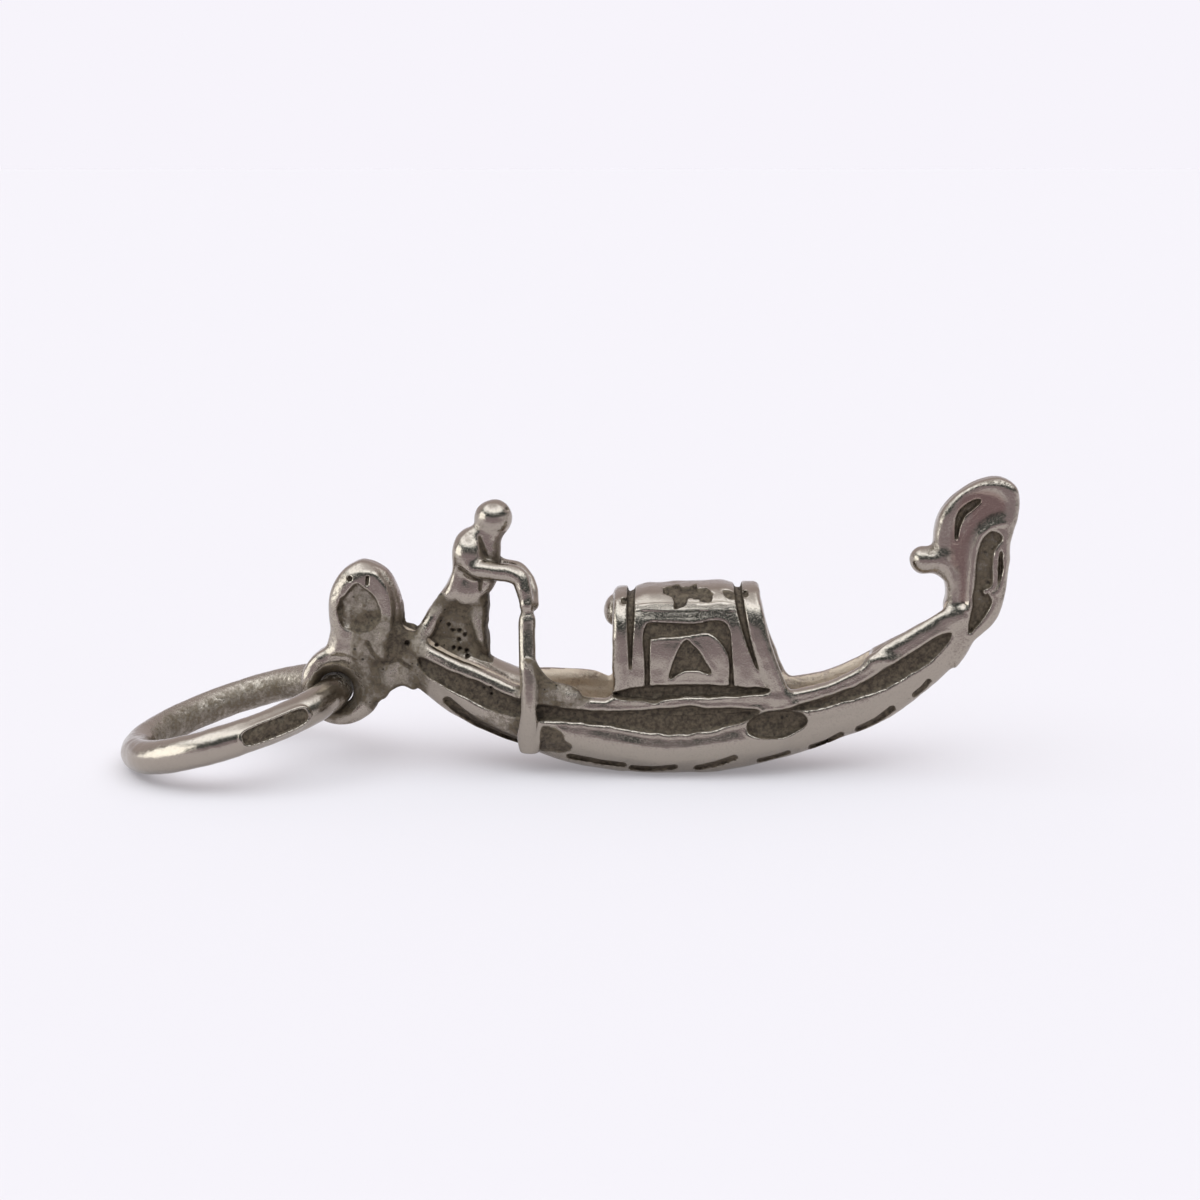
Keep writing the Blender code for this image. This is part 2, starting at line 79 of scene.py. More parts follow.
# Windows: height, start, length of the rise, end, length of the fall
UNDER_CABIN = (1.0, -1.6, 0.5, 2.8, 0.6)  # where the rails are flush and taller
FAR_DIP, NEAR_RISE = (0.17, 3.0, 1.0, 7.8, 1.2), (0.11, 5.8, 0.8, 8.1, 0.8)
RAIL_BOXINESS = (1.3, -4.6, 1.4, 5.2, 1.4)
ROOF_BULGE = (0.14, -0.95, 0.7, 1.7, 0.7)
AFT_DECK_END, AFT_CROWN = -3.85, 0.30
FORE_DECK_START, FORE_CROWN = 6.15, 0.16
# Lumps on the rails: side, middle and radii
RAIL_LUMPS = (
    (-1, (6.45, -0.74, 3.48), (0.50, 0.24, 0.20)),
    (-1, (-3.05, -1.32, 2.62), (0.46, 0.20, 0.26)),
    (-1, (-2.62, -1.36, 2.48), (0.36, 0.20, 0.24)),
    (1, (-3.30, 1.20, 2.46), (1.60, 0.24, 0.24)),
)

CABIN_HALF, CABIN_CROWN, CABIN_RISE, CABIN_SPRING = 1.38, 5.40, 0.045, 3.00
CABIN_WALL, CABIN_BOXINESS, CABIN_FOOT = 0.32, 3.2, 2.2
REAR_BAND, FRONT_BAND = (-1.36, -0.84), (2.26, 2.90)
FRONT_RAKE, FRONT_FLARE = 0.16, 0.055
BAND_PROUD = 0.06
LAP = 0.14  # how far panels and bands run into each other
ROOF_CORNER = (1.06, 5.06)  # y and z where side and roof panels meet

EYE = np.array((-9.42, 2.44))
EYE_OUTER, EYE_HALF = 1.20, 0.46
EYE_MOUTH, EYE_THROAT = 0.80, 0.525  # radii of the hole at its faces and at the wire
THROAT_HALF = 0.12  # how far the narrow part of the hole reaches either way
BY_EYE = 1.05  # how far from the eye's middle scroll and neck keep
WIRE_RADIUS, RING_RADIUS = 0.50, 3.10
PIVOT = np.array((-9.60, 0.0, 2.30))


# Tables, curves and noise

def table(columns, *values):
    return np.array(values, float).reshape(-1, columns)


def routes(count, *rows):
    """Rows of count settings and then pairs of x and z, which become one table."""
    return [(*row[:count], table(2, *row[count:])) for row in rows]


def smooth_curve(rows, steps, closed=False):
    """Points on a Catmull-Rom curve through the given ones."""
    if closed:
        padded = np.vstack((rows[-1], rows, rows[0], rows[1]))
    else:
        padded = np.vstack((2 * rows[0] - rows[1], rows, 2 * rows[-1] - rows[-2]))
    t = (np.arange(steps) / steps)[:, None]
    spans = []
    for before, start, end, after in zip(padded, padded[1:], padded[2:], padded[3:]):
        spans.append(0.5 * (2 * start + (end - before) * t
                            + (2 * before - 5 * start + 4 * end - after) * t ** 2
                            + (3 * start - before - 3 * end + after) * t ** 3))
    return np.vstack(spans if closed else spans + [rows[-1:]])


def outline(steps, *values):
    """A smooth closed outline in the XZ plane through pairs of x and z."""
    return smooth_curve(table(2, *values), steps, closed=True)


def step(t):
    """A smooth rise from 0 at t = 0 to 1 at t = 1."""
    t = np.clip(t, 0.0, 1.0)
    return t * t * (3 - 2 * t)


def window(x, height, start, rise, end, fall):
    """A smooth rise to height after start, and back to 0 after end."""
    return height * step((x - start) / rise) * (1 - step((x - end) / fall))


def noise(p, size, seed):
    """Smooth lattice noise in -1..1, with features about size across."""
    q = p / size
    cell = np.floor(q).astype(np.int64)
    f = q - cell
    f = f * f * (3 - 2 * f)
    total = 0.0
    for corner in np.ndindex(2, 2, 2):
        c = cell + corner
        h = (c[:, 0] * 374761393 + c[:, 1] * 668265263 + c[:, 2] * 2147483647
             + seed * 1274126177) & 0xFFFFFFFF
        h = ((h ^ (h >> 13)) * 1274126177) & 0xFFFFFFFF
        value = ((h ^ (h >> 16)) & 0xFFFF) / 32767.5 - 1
        weight = np.prod(np.where(np.array(corner) == 1, f, 1 - f), axis=1)
        total = total + value * weight
    return total


# Distance fields. p is an array of points in millimetres, and each returns one value a point.

def join(a, b, k):
    """Smooth union with a fillet about k wide."""
    h = np.clip(0.5 + 0.5 * (b - a) / k, 0, 1)
    return b + (a - b) * h - k * h * (1 - h)


def meet(a, b, k):
    """Smooth intersection."""
    return -join(-a, -b, k)


def join_all(fields, k):
    total = fields[0]
    for field in fields[1:]:
        total = join(total, field, k)
    return total


def between(x, start, end):
    """Distance along one axis to the stretch from start to end."""
    return np.maximum(x - end, start - x)


def oval(u, w, n):
    """How far out u and w lie against an oval of power n, which is 1, and that value's slopes."""
    g = (u ** n + w ** n) ** (1 / n) + 1e-9
    return g, (u / g) ** (n - 1), (w / g) ** (n - 1)


def rounded(u, v, half_u, half_v, power):
    """Distance to a rounded section, circle-like at power 2 and boxier above it."""
    g, gu, gv = oval(np.abs(u) / half_u, np.abs(v) / half_v, power)
    slope = np.hypot(gu / half_u, gv / half_v)
    return (g - 1) / np.maximum(slope, 0.4 / np.maximum(half_u, half_v))


def ellipsoid(p, centre, radii):
    return (np.linalg.norm((p - np.array(centre)) / radii, axis=1) - 1) * min(radii)


def mirrored(p):
    """The points brought to the near side, for forms that both sides share."""
    return np.column_stack((p[:, 0], -np.abs(p[:, 1]), p[:, 2]))


def limb(p, path):
    """A round bar along a smooth path. Columns of path: x, y, z, radius."""
    rows = smooth_curve(path, 4)
    best = np.full(len(p), 1e9)
    for start, end in zip(rows, rows[1:]):
        run = end[:3] - start[:3]
        t = np.clip((p - start[:3]) @ run / (run @ run), 0, 1)
        gap = np.linalg.norm(p - start[:3] - t[:, None] * run, axis=1)
        best = np.minimum(best, gap - (start[3] + (end[3] - start[3]) * t))
    return best


def stack(p, rows, rounding, power):
    """A body of oval sections piled along Z. Columns of rows: z, x, y, half x, half y."""
    curve = smooth_curve(rows, 6)
    z = p[:, 2]
    x, y, half_x, half_y = (np.interp(z, curve[:, 0], curve[:, k]) for k in range(1, 5))
    slope = np.gradient(curve[:, 1], curve[:, 0])
    lean = np.sqrt(1 + np.interp(z, curve[:, 0], slope) ** 2)
    side = rounded(p[:, 0] - x, p[:, 1] - y, half_x, half_y, power) / lean
    return meet(side, between(z, curve[0, 0], curve[-1, 0]), rounding)


def flat_gap(x, z, corners, closed=True):
    """Distance in the XZ plane to an outline or a line; negative inside a closed one."""
    sides = list(zip(corners, np.roll(corners, -1, axis=0)))
    best = np.full(len(x), 1e18)
    inside = np.zeros(len(x), bool)
    for (ax, az), (bx, bz) in sides if closed else sides[:-1]:
        ex, ez = bx - ax, bz - az
        dx, dz = x - ax, z - az
        t = np.clip((dx * ex + dz * ez) / (ex * ex + ez * ez), 0, 1)
        best = np.minimum(best, (dx - t * ex) ** 2 + (dz - t * ez) ** 2)
        if closed and az != bz:
            inside ^= ((az > z) != (bz > z)) & (x < ex * (z - az) / (bz - az) + ax)
    best = np.sqrt(best)
    return np.where(inside, -best, best) if closed else best


def plate(p, corners, half, edge):
    """A plate about Y = 0 with rounded rims."""
    return meet(flat_gap(p[:, 0], p[:, 2], corners), np.abs(p[:, 1]) - half, edge)


# Hull

FINE_X = np.linspace(STATIONS[0, 0], STATIONS[-1, 0], 700)
COLUMNS = smooth_curve(STATIONS, 40)
FINE = [np.interp(FINE_X, COLUMNS[:, 0], COLUMNS[:, k]) for k in (1, 2, 3)]
SLOPES = [np.gradient(column, FINE_X) for column in FINE]


def station(x):
    """Keel height, rail height and half beam at x, and their slopes."""
    return ([np.interp(x, FINE_X, column) for column in FINE],
            [np.interp(x, FINE_X, column) for column in SLOPES])


def bowl(p, half, top, bottom, d_half, d_top, d_bottom):
    """A full-bellied trough that opens upwards at top."""
    depth = np.maximum(top - bottom, 0.05)
    u = np.abs(p[:, 1]) / half
    w = np.maximum(top - p[:, 2], 0) / depth
    g, gu, gw = oval(u, w, HULL_FULLNESS)
    gx = gw * (d_top - w * (d_top - d_bottom)) / depth - gu * u * d_half / half
    slope = np.sqrt(gx ** 2 + (gu / half) ** 2 + (gw / depth) ** 2)
    return (g - 1) / np.maximum(slope, 0.3)


def hull_outside(p):
    (keel, rail, beam), (d_keel, d_rail, d_beam) = station(p[:, 0])
    return bowl(p, beam, rail, keel, d_beam, d_rail, d_keel)


def hull_shell(p):
    (keel, rail, beam), (d_keel, d_rail, d_beam) = station(p[:, 0])
    x, z = p[:, 0], p[:, 2]
    rim = rail - RAIL_HEIGHT + RAIL_SEAT
    body = bowl(p, beam, rail, keel, d_beam, d_rail, d_keel)
    body = meet(body, (z - rim) / np.sqrt(1 + d_rail ** 2), 0.04)
    body = meet(body, -z, 0.05)
    well = step((x - WELL_AFT + WELL_RAMP) / WELL_RAMP) * (1 - step((x - WELL_FORE) / WELL_RAMP))
    floor = (rim + 0.3) * (1 - well) + (np.maximum(keel, 0) + FLOOR) * well
    half = np.maximum(beam - WALL, 0.1)
    hollow = bowl(p, half, rail + 0.1, floor, d_beam, d_rail, d_keel * 0.5)
    body = meet(body, -hollow, 0.06)
    return meet(body, between(x, HULL_AFT, HULL_FORE), HULL_ENDS)


def gunwale(p, side):
    (_, rail, beam), (_, d_rail, d_beam) = station(p[:, 0])
    x, y, z = p.T
    flush = window(x, *UNDER_CABIN)
    taller = 0.07 * flush
    if side > 0:
        rail = rail - window(x, *FAR_DIP)
    else:
        taller = taller + window(x, *NEAR_RISE)
    proud = RAIL_PROUD * (1 - flush)
    across = (side * y - beam + RAIL_WIDTH / 2 - proud) / np.sqrt(1 + d_beam ** 2)
    up = (z - rail + RAIL_HEIGHT / 2 - taller) / np.sqrt(1 + d_rail ** 2)
    power = 2.2 + window(x, *RAIL_BOXINESS) + 2.5 * flush
    bar = rounded(across, up, RAIL_WIDTH / 2, RAIL_HEIGHT / 2 + 0.04 + taller, power)
    bar = meet(bar, between(x, HULL_AFT, HULL_FORE), HULL_ENDS)
    for lump_side, middle, radii in RAIL_LUMPS:
        if lump_side == side:
            bar = join(bar, ellipsoid(p, middle, radii), 0.16)
    return bar


def deck(p, start, end, crown):
    """A deck that fills the space between the rails and swells up along the middle."""
    (_, rail, beam), (_, d_rail, _) = station(p[:, 0])
    height = np.maximum(p[:, 2] - (rail - 0.24), 0) / np.sqrt(1 + d_rail ** 2)
    dome = rounded(p[:, 1], height, beam - RAIL_WIDTH + 0.06, crown + 0.2, 2.0)
    dome = meet(dome, rail - RAIL_HEIGHT - 0.4 - p[:, 2], 0.05)
    return meet(dome, between(p[:, 0], start, end), 0.15)


# Cabin

def crown_at(x):
    return CABIN_CROWN + CABIN_RISE * x + window(x, *ROOF_BULGE)


def arch(p, half, crown):
    """Distance to a boxy arch with upright legs."""
    rise = crown - CABIN_SPRING
    w = np.maximum(p[:, 2] - CABIN_SPRING, 0) / rise
    g, gu, gw = oval(np.abs(p[:, 1]) / half, w, CABIN_BOXINESS)
    return (g - 1) / np.maximum(np.hypot(gu / half, gw / rise), 0.3)


def lean(p):
    """How far the front of the cabin stands forward of its crown."""
    drop = np.maximum(CABIN_CROWN - p[:, 2], 0)
    return FRONT_RAKE * drop + FRONT_FLARE * drop ** 2


def cabin_shell(p, start, end, proud):
    crown = crown_at(p[:, 0]) + proud
    outer = arch(p, CABIN_HALF + proud, crown)
    inner = arch(p, CABIN_HALF - CABIN_WALL, crown - proud - CABIN_WALL)
    shell = meet(outer, -inner, 0.05)
    shell = meet(shell, CABIN_FOOT - p[:, 2], 0.05)
    return meet(shell, between(p[:, 0], start, end), 0.22 if proud else 0.03)


def cabin_panel(p, which):
    """One panel of the cabin: the roof, or the side at which = -1, near, or 1, far."""
    shell = cabin_shell(p, REAR_BAND[1] - LAP, FRONT_BAND[0] + lean(p) + LAP, 0.0)
    corner = (p[:, 2] - ROOF_CORNER[1]) - (np.abs(p[:, 1]) - ROOF_CORNER[0])
    if which == "roof":
        return np.maximum(shell, -corner - LAP)
    return np.maximum(np.maximum(shell, corner - LAP), -which * p[:, 1])


def cabin_front_band(p):
    return cabin_shell(p, FRONT_BAND[0] + lean(p), FRONT_BAND[1] + lean(p), BAND_PROUD)


def cabin_rear_wall(p):
    wall = arch(p, CABIN_HALF - CABIN_WALL + 0.02, CABIN_CROWN - CABIN_WALL)
    wall = np.maximum(meet(wall, np.abs(p[:, 0] + 1.10) - 0.16, 0.05), 2.0 - p[:, 2])
    return join(wall, ellipsoid(p, (-1.28, 0, 4.74), (0.38, 0.54, 0.48)), 0.1)


# Bow. DISH is the hollow of the iron's face, LEAF_RIB the bright line that crosses the leaf.

IRON = outline(5,
    8.6, 3.18, 8.9, 3.62, 9.1, 3.88, 9.55, 4.29, 9.88, 4.8, 10.02, 5.4, 10.09, 6.2, 10.14, 6.96,
    10.3, 7.6, 10.31, 8.2, 10.14, 8.58, 9.72, 8.76, 9.2, 8.68, 8.73, 8.44, 8.24, 8.01, 7.98, 7.5,
    7.9, 6.92, 7.98, 6.4, 8.08, 5.95, 8.27, 5.66, 8.32, 5.3, 8.26, 4.9, 8.5, 4.6)
CRESCENT = outline(5,
    8.52, 6.98, 8.5, 7.44, 8.57, 7.75, 8.79, 7.98, 9.1, 8.13, 9.18, 8.05, 8.97, 7.86, 8.73, 7.64,
    8.62, 7.36)
LEAF = outline(4,
    9.54, 7.19, 9.78, 7.06, 9.85, 6.67, 9.86, 6.23, 9.83, 5.84, 9.7, 5.52, 9.51, 5.38, 9.6, 5.12,
    9.45, 4.77, 9.23, 4.5, 8.99, 4.25, 9.05, 4.89, 9.09, 5.48, 9.13, 6.07, 9.18, 6.66, 9.34, 7.04)
LEAF_RIB = smooth_curve(table(2,
    9.96, 6.96, 9.8, 6.78, 9.69, 6.58, 9.66, 6.2, 9.68, 5.76, 9.62, 5.55, 9.42, 5.44), 4)
DISH = outline(4,
    8.68, 8.18, 9.15, 8.4, 9.6, 8.34, 9.86, 8.08, 9.84, 7.76, 9.4, 7.54, 8.98, 7.1, 8.84, 6.46,
    8.86, 5.6, 8.86, 5.1, 8.68, 5.18, 8.64, 5.95, 8.38, 6.3, 8.36, 7.05, 8.46, 7.68)
TOOTH = table(4, 8.24, 0, 6.34, 0.42, 7.86, 0, 6.32, 0.4, 7.64, 0, 6.31, 0.41)


# Stern

SCROLL = outline(5,
    -9.68, 3.3, -9.72, 4.1, -9.75, 4.8, -9.64, 5.36, -9.4, 5.78, -9.1, 6.06, -8.7, 6.22, -8.3, 6.12,
    -7.96, 5.86, -7.7, 5.36, -7.58, 4.8, -7.6, 4.3, -7.8, 3.8, -8.1, 3.3)
SCROLL_FACE = outline(5,
    -9.62, 3.3, -9.68, 4.1, -9.7, 4.8, -9.58, 5.36, -9.34, 5.76, -9.04, 6.02, -8.68, 6.13, -8.34, 6,
    -8.06, 5.7, -7.86, 5.24, -7.78, 4.76, -7.84, 4.24, -8, 3.8, -8.2, 3.3)
SCROLL_RECESS = outline(4,
    -8.81, 5.58, -8.6, 5.42, -8.38, 5.2, -8.26, 4.96, -8.2, 4.7, -8.26, 4.44, -8.42, 4.22,
    -8.74, 4.1, -9.04, 4.16, -9.26, 4.4, -9.38, 4.72, -9.35, 4.98, -9.22, 5.2, -9, 5.42)
NECK = outline(5,
    -7.15, 2.44, -7.15, 3.95, -7.42, 4.14, -7.8, 4.22, -8.6, 4.3, -8.7, 2.9, -8.5, 2.2, -8.16, 2.06,
    -7.92, 2.32, -7.6, 2.46)


def past_eye(p):
    """Distance into the space that is kept for the eye."""
    return BY_EYE - np.hypot(p[:, 0] - EYE[0], p[:, 2] - EYE[1])


def stern_scroll(p):
    face_edge = 0.46 - 0.30 * step((p[:, 0] + 8.7) / 0.6)
    scroll = join(plate(p, SCROLL, 0.38, 0.30), plate(p, SCROLL_FACE, 0.57, face_edge), 0.08)
    return np.maximum(scroll, past_eye(p))


def stern_neck(p):
    return np.maximum(plate(p, NECK, 0.42, 0.20), past_eye(p))


def stern_eye(p):
    """A thick disc whose hole narrows from both faces to the wire."""
    x, y, z = p.T
    inward = 1 - np.clip((np.abs(y) - THROAT_HALF) / (EYE_HALF - THROAT_HALF), 0, 1) ** 1.5
    centre_x = EYE[0] + (PIVOT[0] - EYE[0]) * inward
    centre_z = EYE[1] + (PIVOT[2] - EYE[1]) * inward
    radius = EYE_MOUTH + (EYE_THROAT - EYE_MOUTH) * inward
    hole = radius - np.hypot(x - centre_x, z - centre_z)
    disc = meet(np.hypot(x - EYE[0], z - EYE[1]) - EYE_OUTER, np.abs(y) - EYE_HALF, 0.34)
    return meet(disc, 0.85 * hole, 0.07)


# Rower and oar

TORSO = outline(3,
    -5.3, 7.28, -5.54, 7.2, -5.78, 7.08, -5.97, 6.88, -6.08, 6.5, -6.06, 6.02, -6.16, 5.68,
    -6.4, 5.24, -6.42, 5.02, -6.14, 5.12, -5.84, 5, -5.52, 4.93, -5.22, 5.04, -4.98, 5.26,
    -4.8, 5.54, -4.7, 5.92, -4.67, 6.35, -4.7, 6.72, -4.64, 7.02, -4.86, 7.22)
# Masses of back, chest and belly: middle and radii
TORSO_MASSES = (
    ((-5.56, -0.30, 6.40), (0.48, 0.42, 0.60)),
    ((-5.00, -0.08, 6.60), (0.30, 0.34, 0.50)),
    ((-5.62, -0.22, 5.36), (0.46, 0.27, 0.44)),
)
# Limbs: x, y, z, radius
BACK_RIDGE = table(4,
    -5.8, -0.34, 6.48, 0.18, -5.87, -0.34, 6, 0.16, -5.97, -0.32, 5.62, 0.15,
    -6.1, -0.26, 5.24, 0.16)
LEG_AFT = table(4,
    -6.22, -0.12, 5.1, 0.22, -6.52, -0.18, 4.72, 0.24, -6.8, -0.26, 4.25, 0.24,
    -7.03, -0.34, 3.84, 0.22, -6.98, -0.44, 3.58, 0.18)
ARM_NEAR = table(4,
    -5.4, -0.48, 6.04, 0.3, -5.06, -0.56, 6.02, 0.28, -4.7, -0.64, 6, 0.27, -4.34, -0.7, 5.97, 0.27,
    -4.05, -0.78, 5.83, 0.26, -3.93, -0.88, 5.54, 0.23, -3.87, -0.94, 5.26, 0.21,
    -3.85, -1, 5.06, 0.2)
HAND = table(4, -3.85, -1, 5.1, 0.19, -3.84, -1, 4.92, 0.18, -3.83, -1.02, 4.55, 0.17)
ARM_FAR = table(4,
    -5.1, 0.34, 6.12, 0.28, -4.6, 0.22, 5.98, 0.25, -4.16, 0, 5.92, 0.25, -3.88, -0.28, 5.68, 0.23,
    -3.74, -0.56, 5.36, 0.21, -3.7, -0.76, 5.08, 0.21)
NECK_BAR = table(4, -4.92, 0, 7.24, 0.36, -4.98, -0.02, 6.9, 0.33, -4.98, -0.04, 6.45, 0.3)
WEB = table(2, -6.4, 5.15, -7.02, 3.75, -6.9, 3.2, -5.03, 3, -5.1, 4.2, -5.06, 5.15)
LEG_FORE = outline(4,
    -5.44, 5, -5.6, 4.66, -5.54, 4.28, -5.4, 3.92, -5.24, 3.6, -5.05, 3.45, -5.06, 3.9, -5.09, 4.3,
    -5.05, 4.8, -5.12, 5.05)
# Oar: z, x, y, half x, half y
OAR = table(5,
    0.66, -3.78, -1.02, 0.29, 0.2, 1.15, -3.8, -1.2, 0.33, 0.23, 1.6, -3.78, -1.38, 0.29, 0.22,
    2.1, -3.76, -1.5, 0.24, 0.22, 2.8, -3.76, -1.46, 0.25, 0.23, 3.6, -3.82, -1.3, 0.245, 0.23,
    4.4, -3.84, -1.08, 0.25, 0.23, 4.76, -3.82, -1.02, 0.22, 0.21)
REST = table(2, -3.8, 3.56, -3.52, 3.34, -3.34, 3.12, -3.14, 2.9, -3.02, 2.7, -3.02, 2.2, -3.8, 2.2)


def torso(p):
    q = mirrored(p)
    masses = [ellipsoid(q, *mass) for mass in TORSO_MASSES]
    return join_all([plate(p, TORSO, 0.44, 0.40), *masses, limb(q, BACK_RIDGE)], 0.10)


def near_arm(p):
    return join(limb(p, ARM_NEAR), limb(p, HAND), 0.03)


def head(p):
    ball = ellipsoid(p, (-4.87, 0, 7.46), (0.555, 0.55, 0.55))
    return join(ball, limb(p, NECK_BAR), 0.22)


def aft_leg(p):
    return limb(mirrored(p), LEG_AFT)


def oar_rest(p):
    return plate(p + (0, 1.30, 0), REST, 0.17, 0.12)


HULL_SKIN = ("hull_shell", "gunwale_near", "gunwale_far")
CABIN_SIDES = ("cabin_side_near", "cabin_side_far")
CABIN_BANDS = ("cabin_rear_band", "cabin_front_band")

# Nodes: name, X from and to, half width in Y, Z from and to, the field and its settings
NODES = {
    "hull_shell": (-7.6, 9.1, 1.6, 0.0, 5.2, hull_shell),
    "gunwale_near": (-7.6, 9.1, 1.6, 1.8, 5.2, gunwale, -1),
    "gunwale_far": (-7.6, 9.1, 1.6, 1.8, 5.2, gunwale, 1),
    "aft_deck": (-7.6, -3.8, 1.0, 1.9, 4.4, deck, HULL_AFT, AFT_DECK_END, AFT_CROWN),
    "fore_deck": (6.1, 9.1, 0.8, 2.6, 5.3, deck, FORE_DECK_START, HULL_FORE, FORE_CROWN),
    "bow_iron": (7.9, 10.5, 0.5, 3.1, 8.9, plate, IRON, 0.40, 0.30),
    "bow_tooth": (7.2, 8.3, 0.4, 5.8, 6.8, limb, TOOTH),
    "stern_eye": (-10.7, -8.1, 0.5, 1.2, 3.7, stern_eye),
    "stern_scroll": (-9.8, -7.4, 0.6, 3.2, 6.3, stern_scroll),
    "stern_neck": (-8.7, -7.1, 0.5, 2.0, 4.4, stern_neck),
    "cabin_side_near": (-0.9, 3.2, 1.45, 2.2, 5.5, cabin_panel, -1),
    "cabin_side_far": (-0.9, 3.2, 1.45, 2.2, 5.5, cabin_panel, 1),
    "cabin_roof": (-0.9, 3.2, 1.45, 4.6, 5.6, cabin_panel, "roof"),
    "cabin_rear_band": (-1.4, -0.8, 1.5, 2.2, 5.5, cabin_shell, *REAR_BAND, BAND_PROUD),
    "cabin_front_band": (2.2, 3.9, 1.5, 2.2, 5.7, cabin_front_band),
    "cabin_rear_wall": (-1.7, -0.9, 1.1, 2.0, 5.2, cabin_rear_wall),
    "gondolier_head": (-5.5, -4.3, 0.6, 6.2, 8.1, head),
    "gondolier_torso": (-6.6, -4.6, 0.6, 4.9, 7.3, torso),
    "gondolier_arm_near": (-5.8, -3.6, 1.3, 4.4, 6.7, near_arm),
    "gondolier_arm_far": (-5.4, -3.4, 1.0, 4.8, 6.4, limb, ARM_FAR),
    "gondolier_leg_aft": (-7.3, -6.0, 0.6, 3.4, 5.4, aft_leg),
    "gondolier_leg_fore": (-5.7, -5.0, 0.5, 3.4, 5.1, plate, LEG_FORE, 0.40, 0.22),
    "gondolier_web": (-7.1, -5.0, 0.3, 3.0, 5.2, plate, WEB, 0.26, 0.14),
    "oar": (-4.2, -3.4, 1.8, 0.6, 4.8, stack, OAR, 0.12, 2.1),
    "oar_rest": (-3.9, -2.3, 1.6, 2.2, 3.7, oar_rest),
}
NAMES = list(NODES)

# How the fields are joined: nested groups of names, each with the width of its fillets
JOINED = (0.16, (
    (0.20, (
        (0.10, (*HULL_SKIN, "aft_deck", "fore_deck")),
        (0.06, (*CABIN_SIDES, "cabin_roof", *CABIN_BANDS, "cabin_rear_wall")),
    )),
    (0.14, tuple(name for name in NAMES if name.startswith("gondolier"))),
    (0.18, ((0.30, ("stern_scroll", "stern_neck")), "stern_eye")),
    (0.22, ("bow_iron", "bow_tooth")),
    (0.20, ("oar", "oar_rest")),
))


def melt(d, group):
    """The fields of a group joined with its fillets."""
    if isinstance(group, str):
        return d[group]
    width, members = group
    return join_all([melt(d, member) for member in members], width)


def nearest(d, *names):
    """Distance to the nearest of the named nodes."""
    return np.min([d[name] for name in names], axis=0)


# Chasing. Outlines lie in the XZ plane, and both sides carry them.

SIDE_PANEL = outline(4,
    -7, 3.38, -6.1, 3.06, -5.2, 2.76, -4.2, 2.36, -2.8, 2.12, -1.9, 2.06, -0.8, 2.08, 0.3, 2.16,
    0.9, 2.22, 1.4, 2.16, 2.8, 2.14, 2.62, 1.86, 1.9, 1.66, 1.4, 1.52, 0.6, 1.43, -0.1, 1.44,
    -1.45, 1.64, -2.5, 1.74, -3.6, 1.8, -4.7, 1.92, -5.8, 2.4, -6.82, 2.94)
BOW_PANEL = outline(4,
    3.5, 2.12, 4.86, 2.46, 5.9, 2.84, 6.6, 3.28, 7.3, 3.68, 8, 4.14, 8.42, 4.22, 8.34, 3.98,
    7.86, 3.46, 7.3, 3.1, 6.5, 2.66, 5.56, 2.38, 4.6, 2.14)
OVAL = np.array([(3.41 + 0.86 * math.cos(a), 1.69 + 0.40 * math.sin(a) + 0.06 * math.cos(a))
                 for a in np.linspace(0, 2 * math.pi, 28, endpoint=False)])
OAR_HOLLOW = outline(3,
    -3.45, 1.48, -3.1, 1.5, -2.86, 1.36, -2.74, 1.14, -2.56, 0.92, -2.8, 0.74, -3.2, 0.78,
    -3.45, 0.84)
FRAME_OUTSIDE = outline(3,
    -0.28, 2.6, -0.4, 2.78, -0.41, 3.2, -0.43, 3.67, -0.47, 4.24, -0.4, 4.54, -0.2, 4.64, 1, 4.62,
    1.48, 4.71, 1.84, 4.67, 2.01, 4.42, 2.06, 3.96, 2.08, 3.58, 2.11, 3.22, 2.14, 2.82, 2.04, 2.6,
    0.9, 2.52)
FRAME_INSIDE = outline(3,
    -0.2, 2.79, -0.28, 2.95, -0.29, 3.52, -0.28, 4.08, -0.18, 4.2, 0.68, 4.29, 1.16, 4.37,
    1.41, 4.38, 1.66, 4.22, 1.92, 3.88, 2.02, 3.56, 2.03, 3.3, 2.01, 2.98, 1.94, 2.82, 0.9, 2.84)
BASE = outline(3,
    -1.32, 2.56, -1.02, 2.68, -0.52, 2.76, 0.21, 2.82, 1.05, 2.84, 1.9, 2.79, 2.6, 2.76, 3.16, 2.72,
    2.86, 2.6, 1.68, 2.53, 1.06, 2.55, 0.21, 2.46, -0.14, 2.34, -0.44, 2.4, -1.08, 2.42)
TRIANGLE = outline(3,
    0.77, 4.14, 1.08, 3.87, 1.3, 3.54, 1.48, 3.2, 1.12, 3.28, 0.79, 3.3, 0.57, 3.2, 0.34, 3.04,
    0.31, 3.22, 0.4, 3.54, 0.57, 3.88)
# The swelling around the triangle: middle, radii, height
BOSS, BOSS_HEIGHT = ((0.88, 3.42), (0.86, 0.94)), 0.05

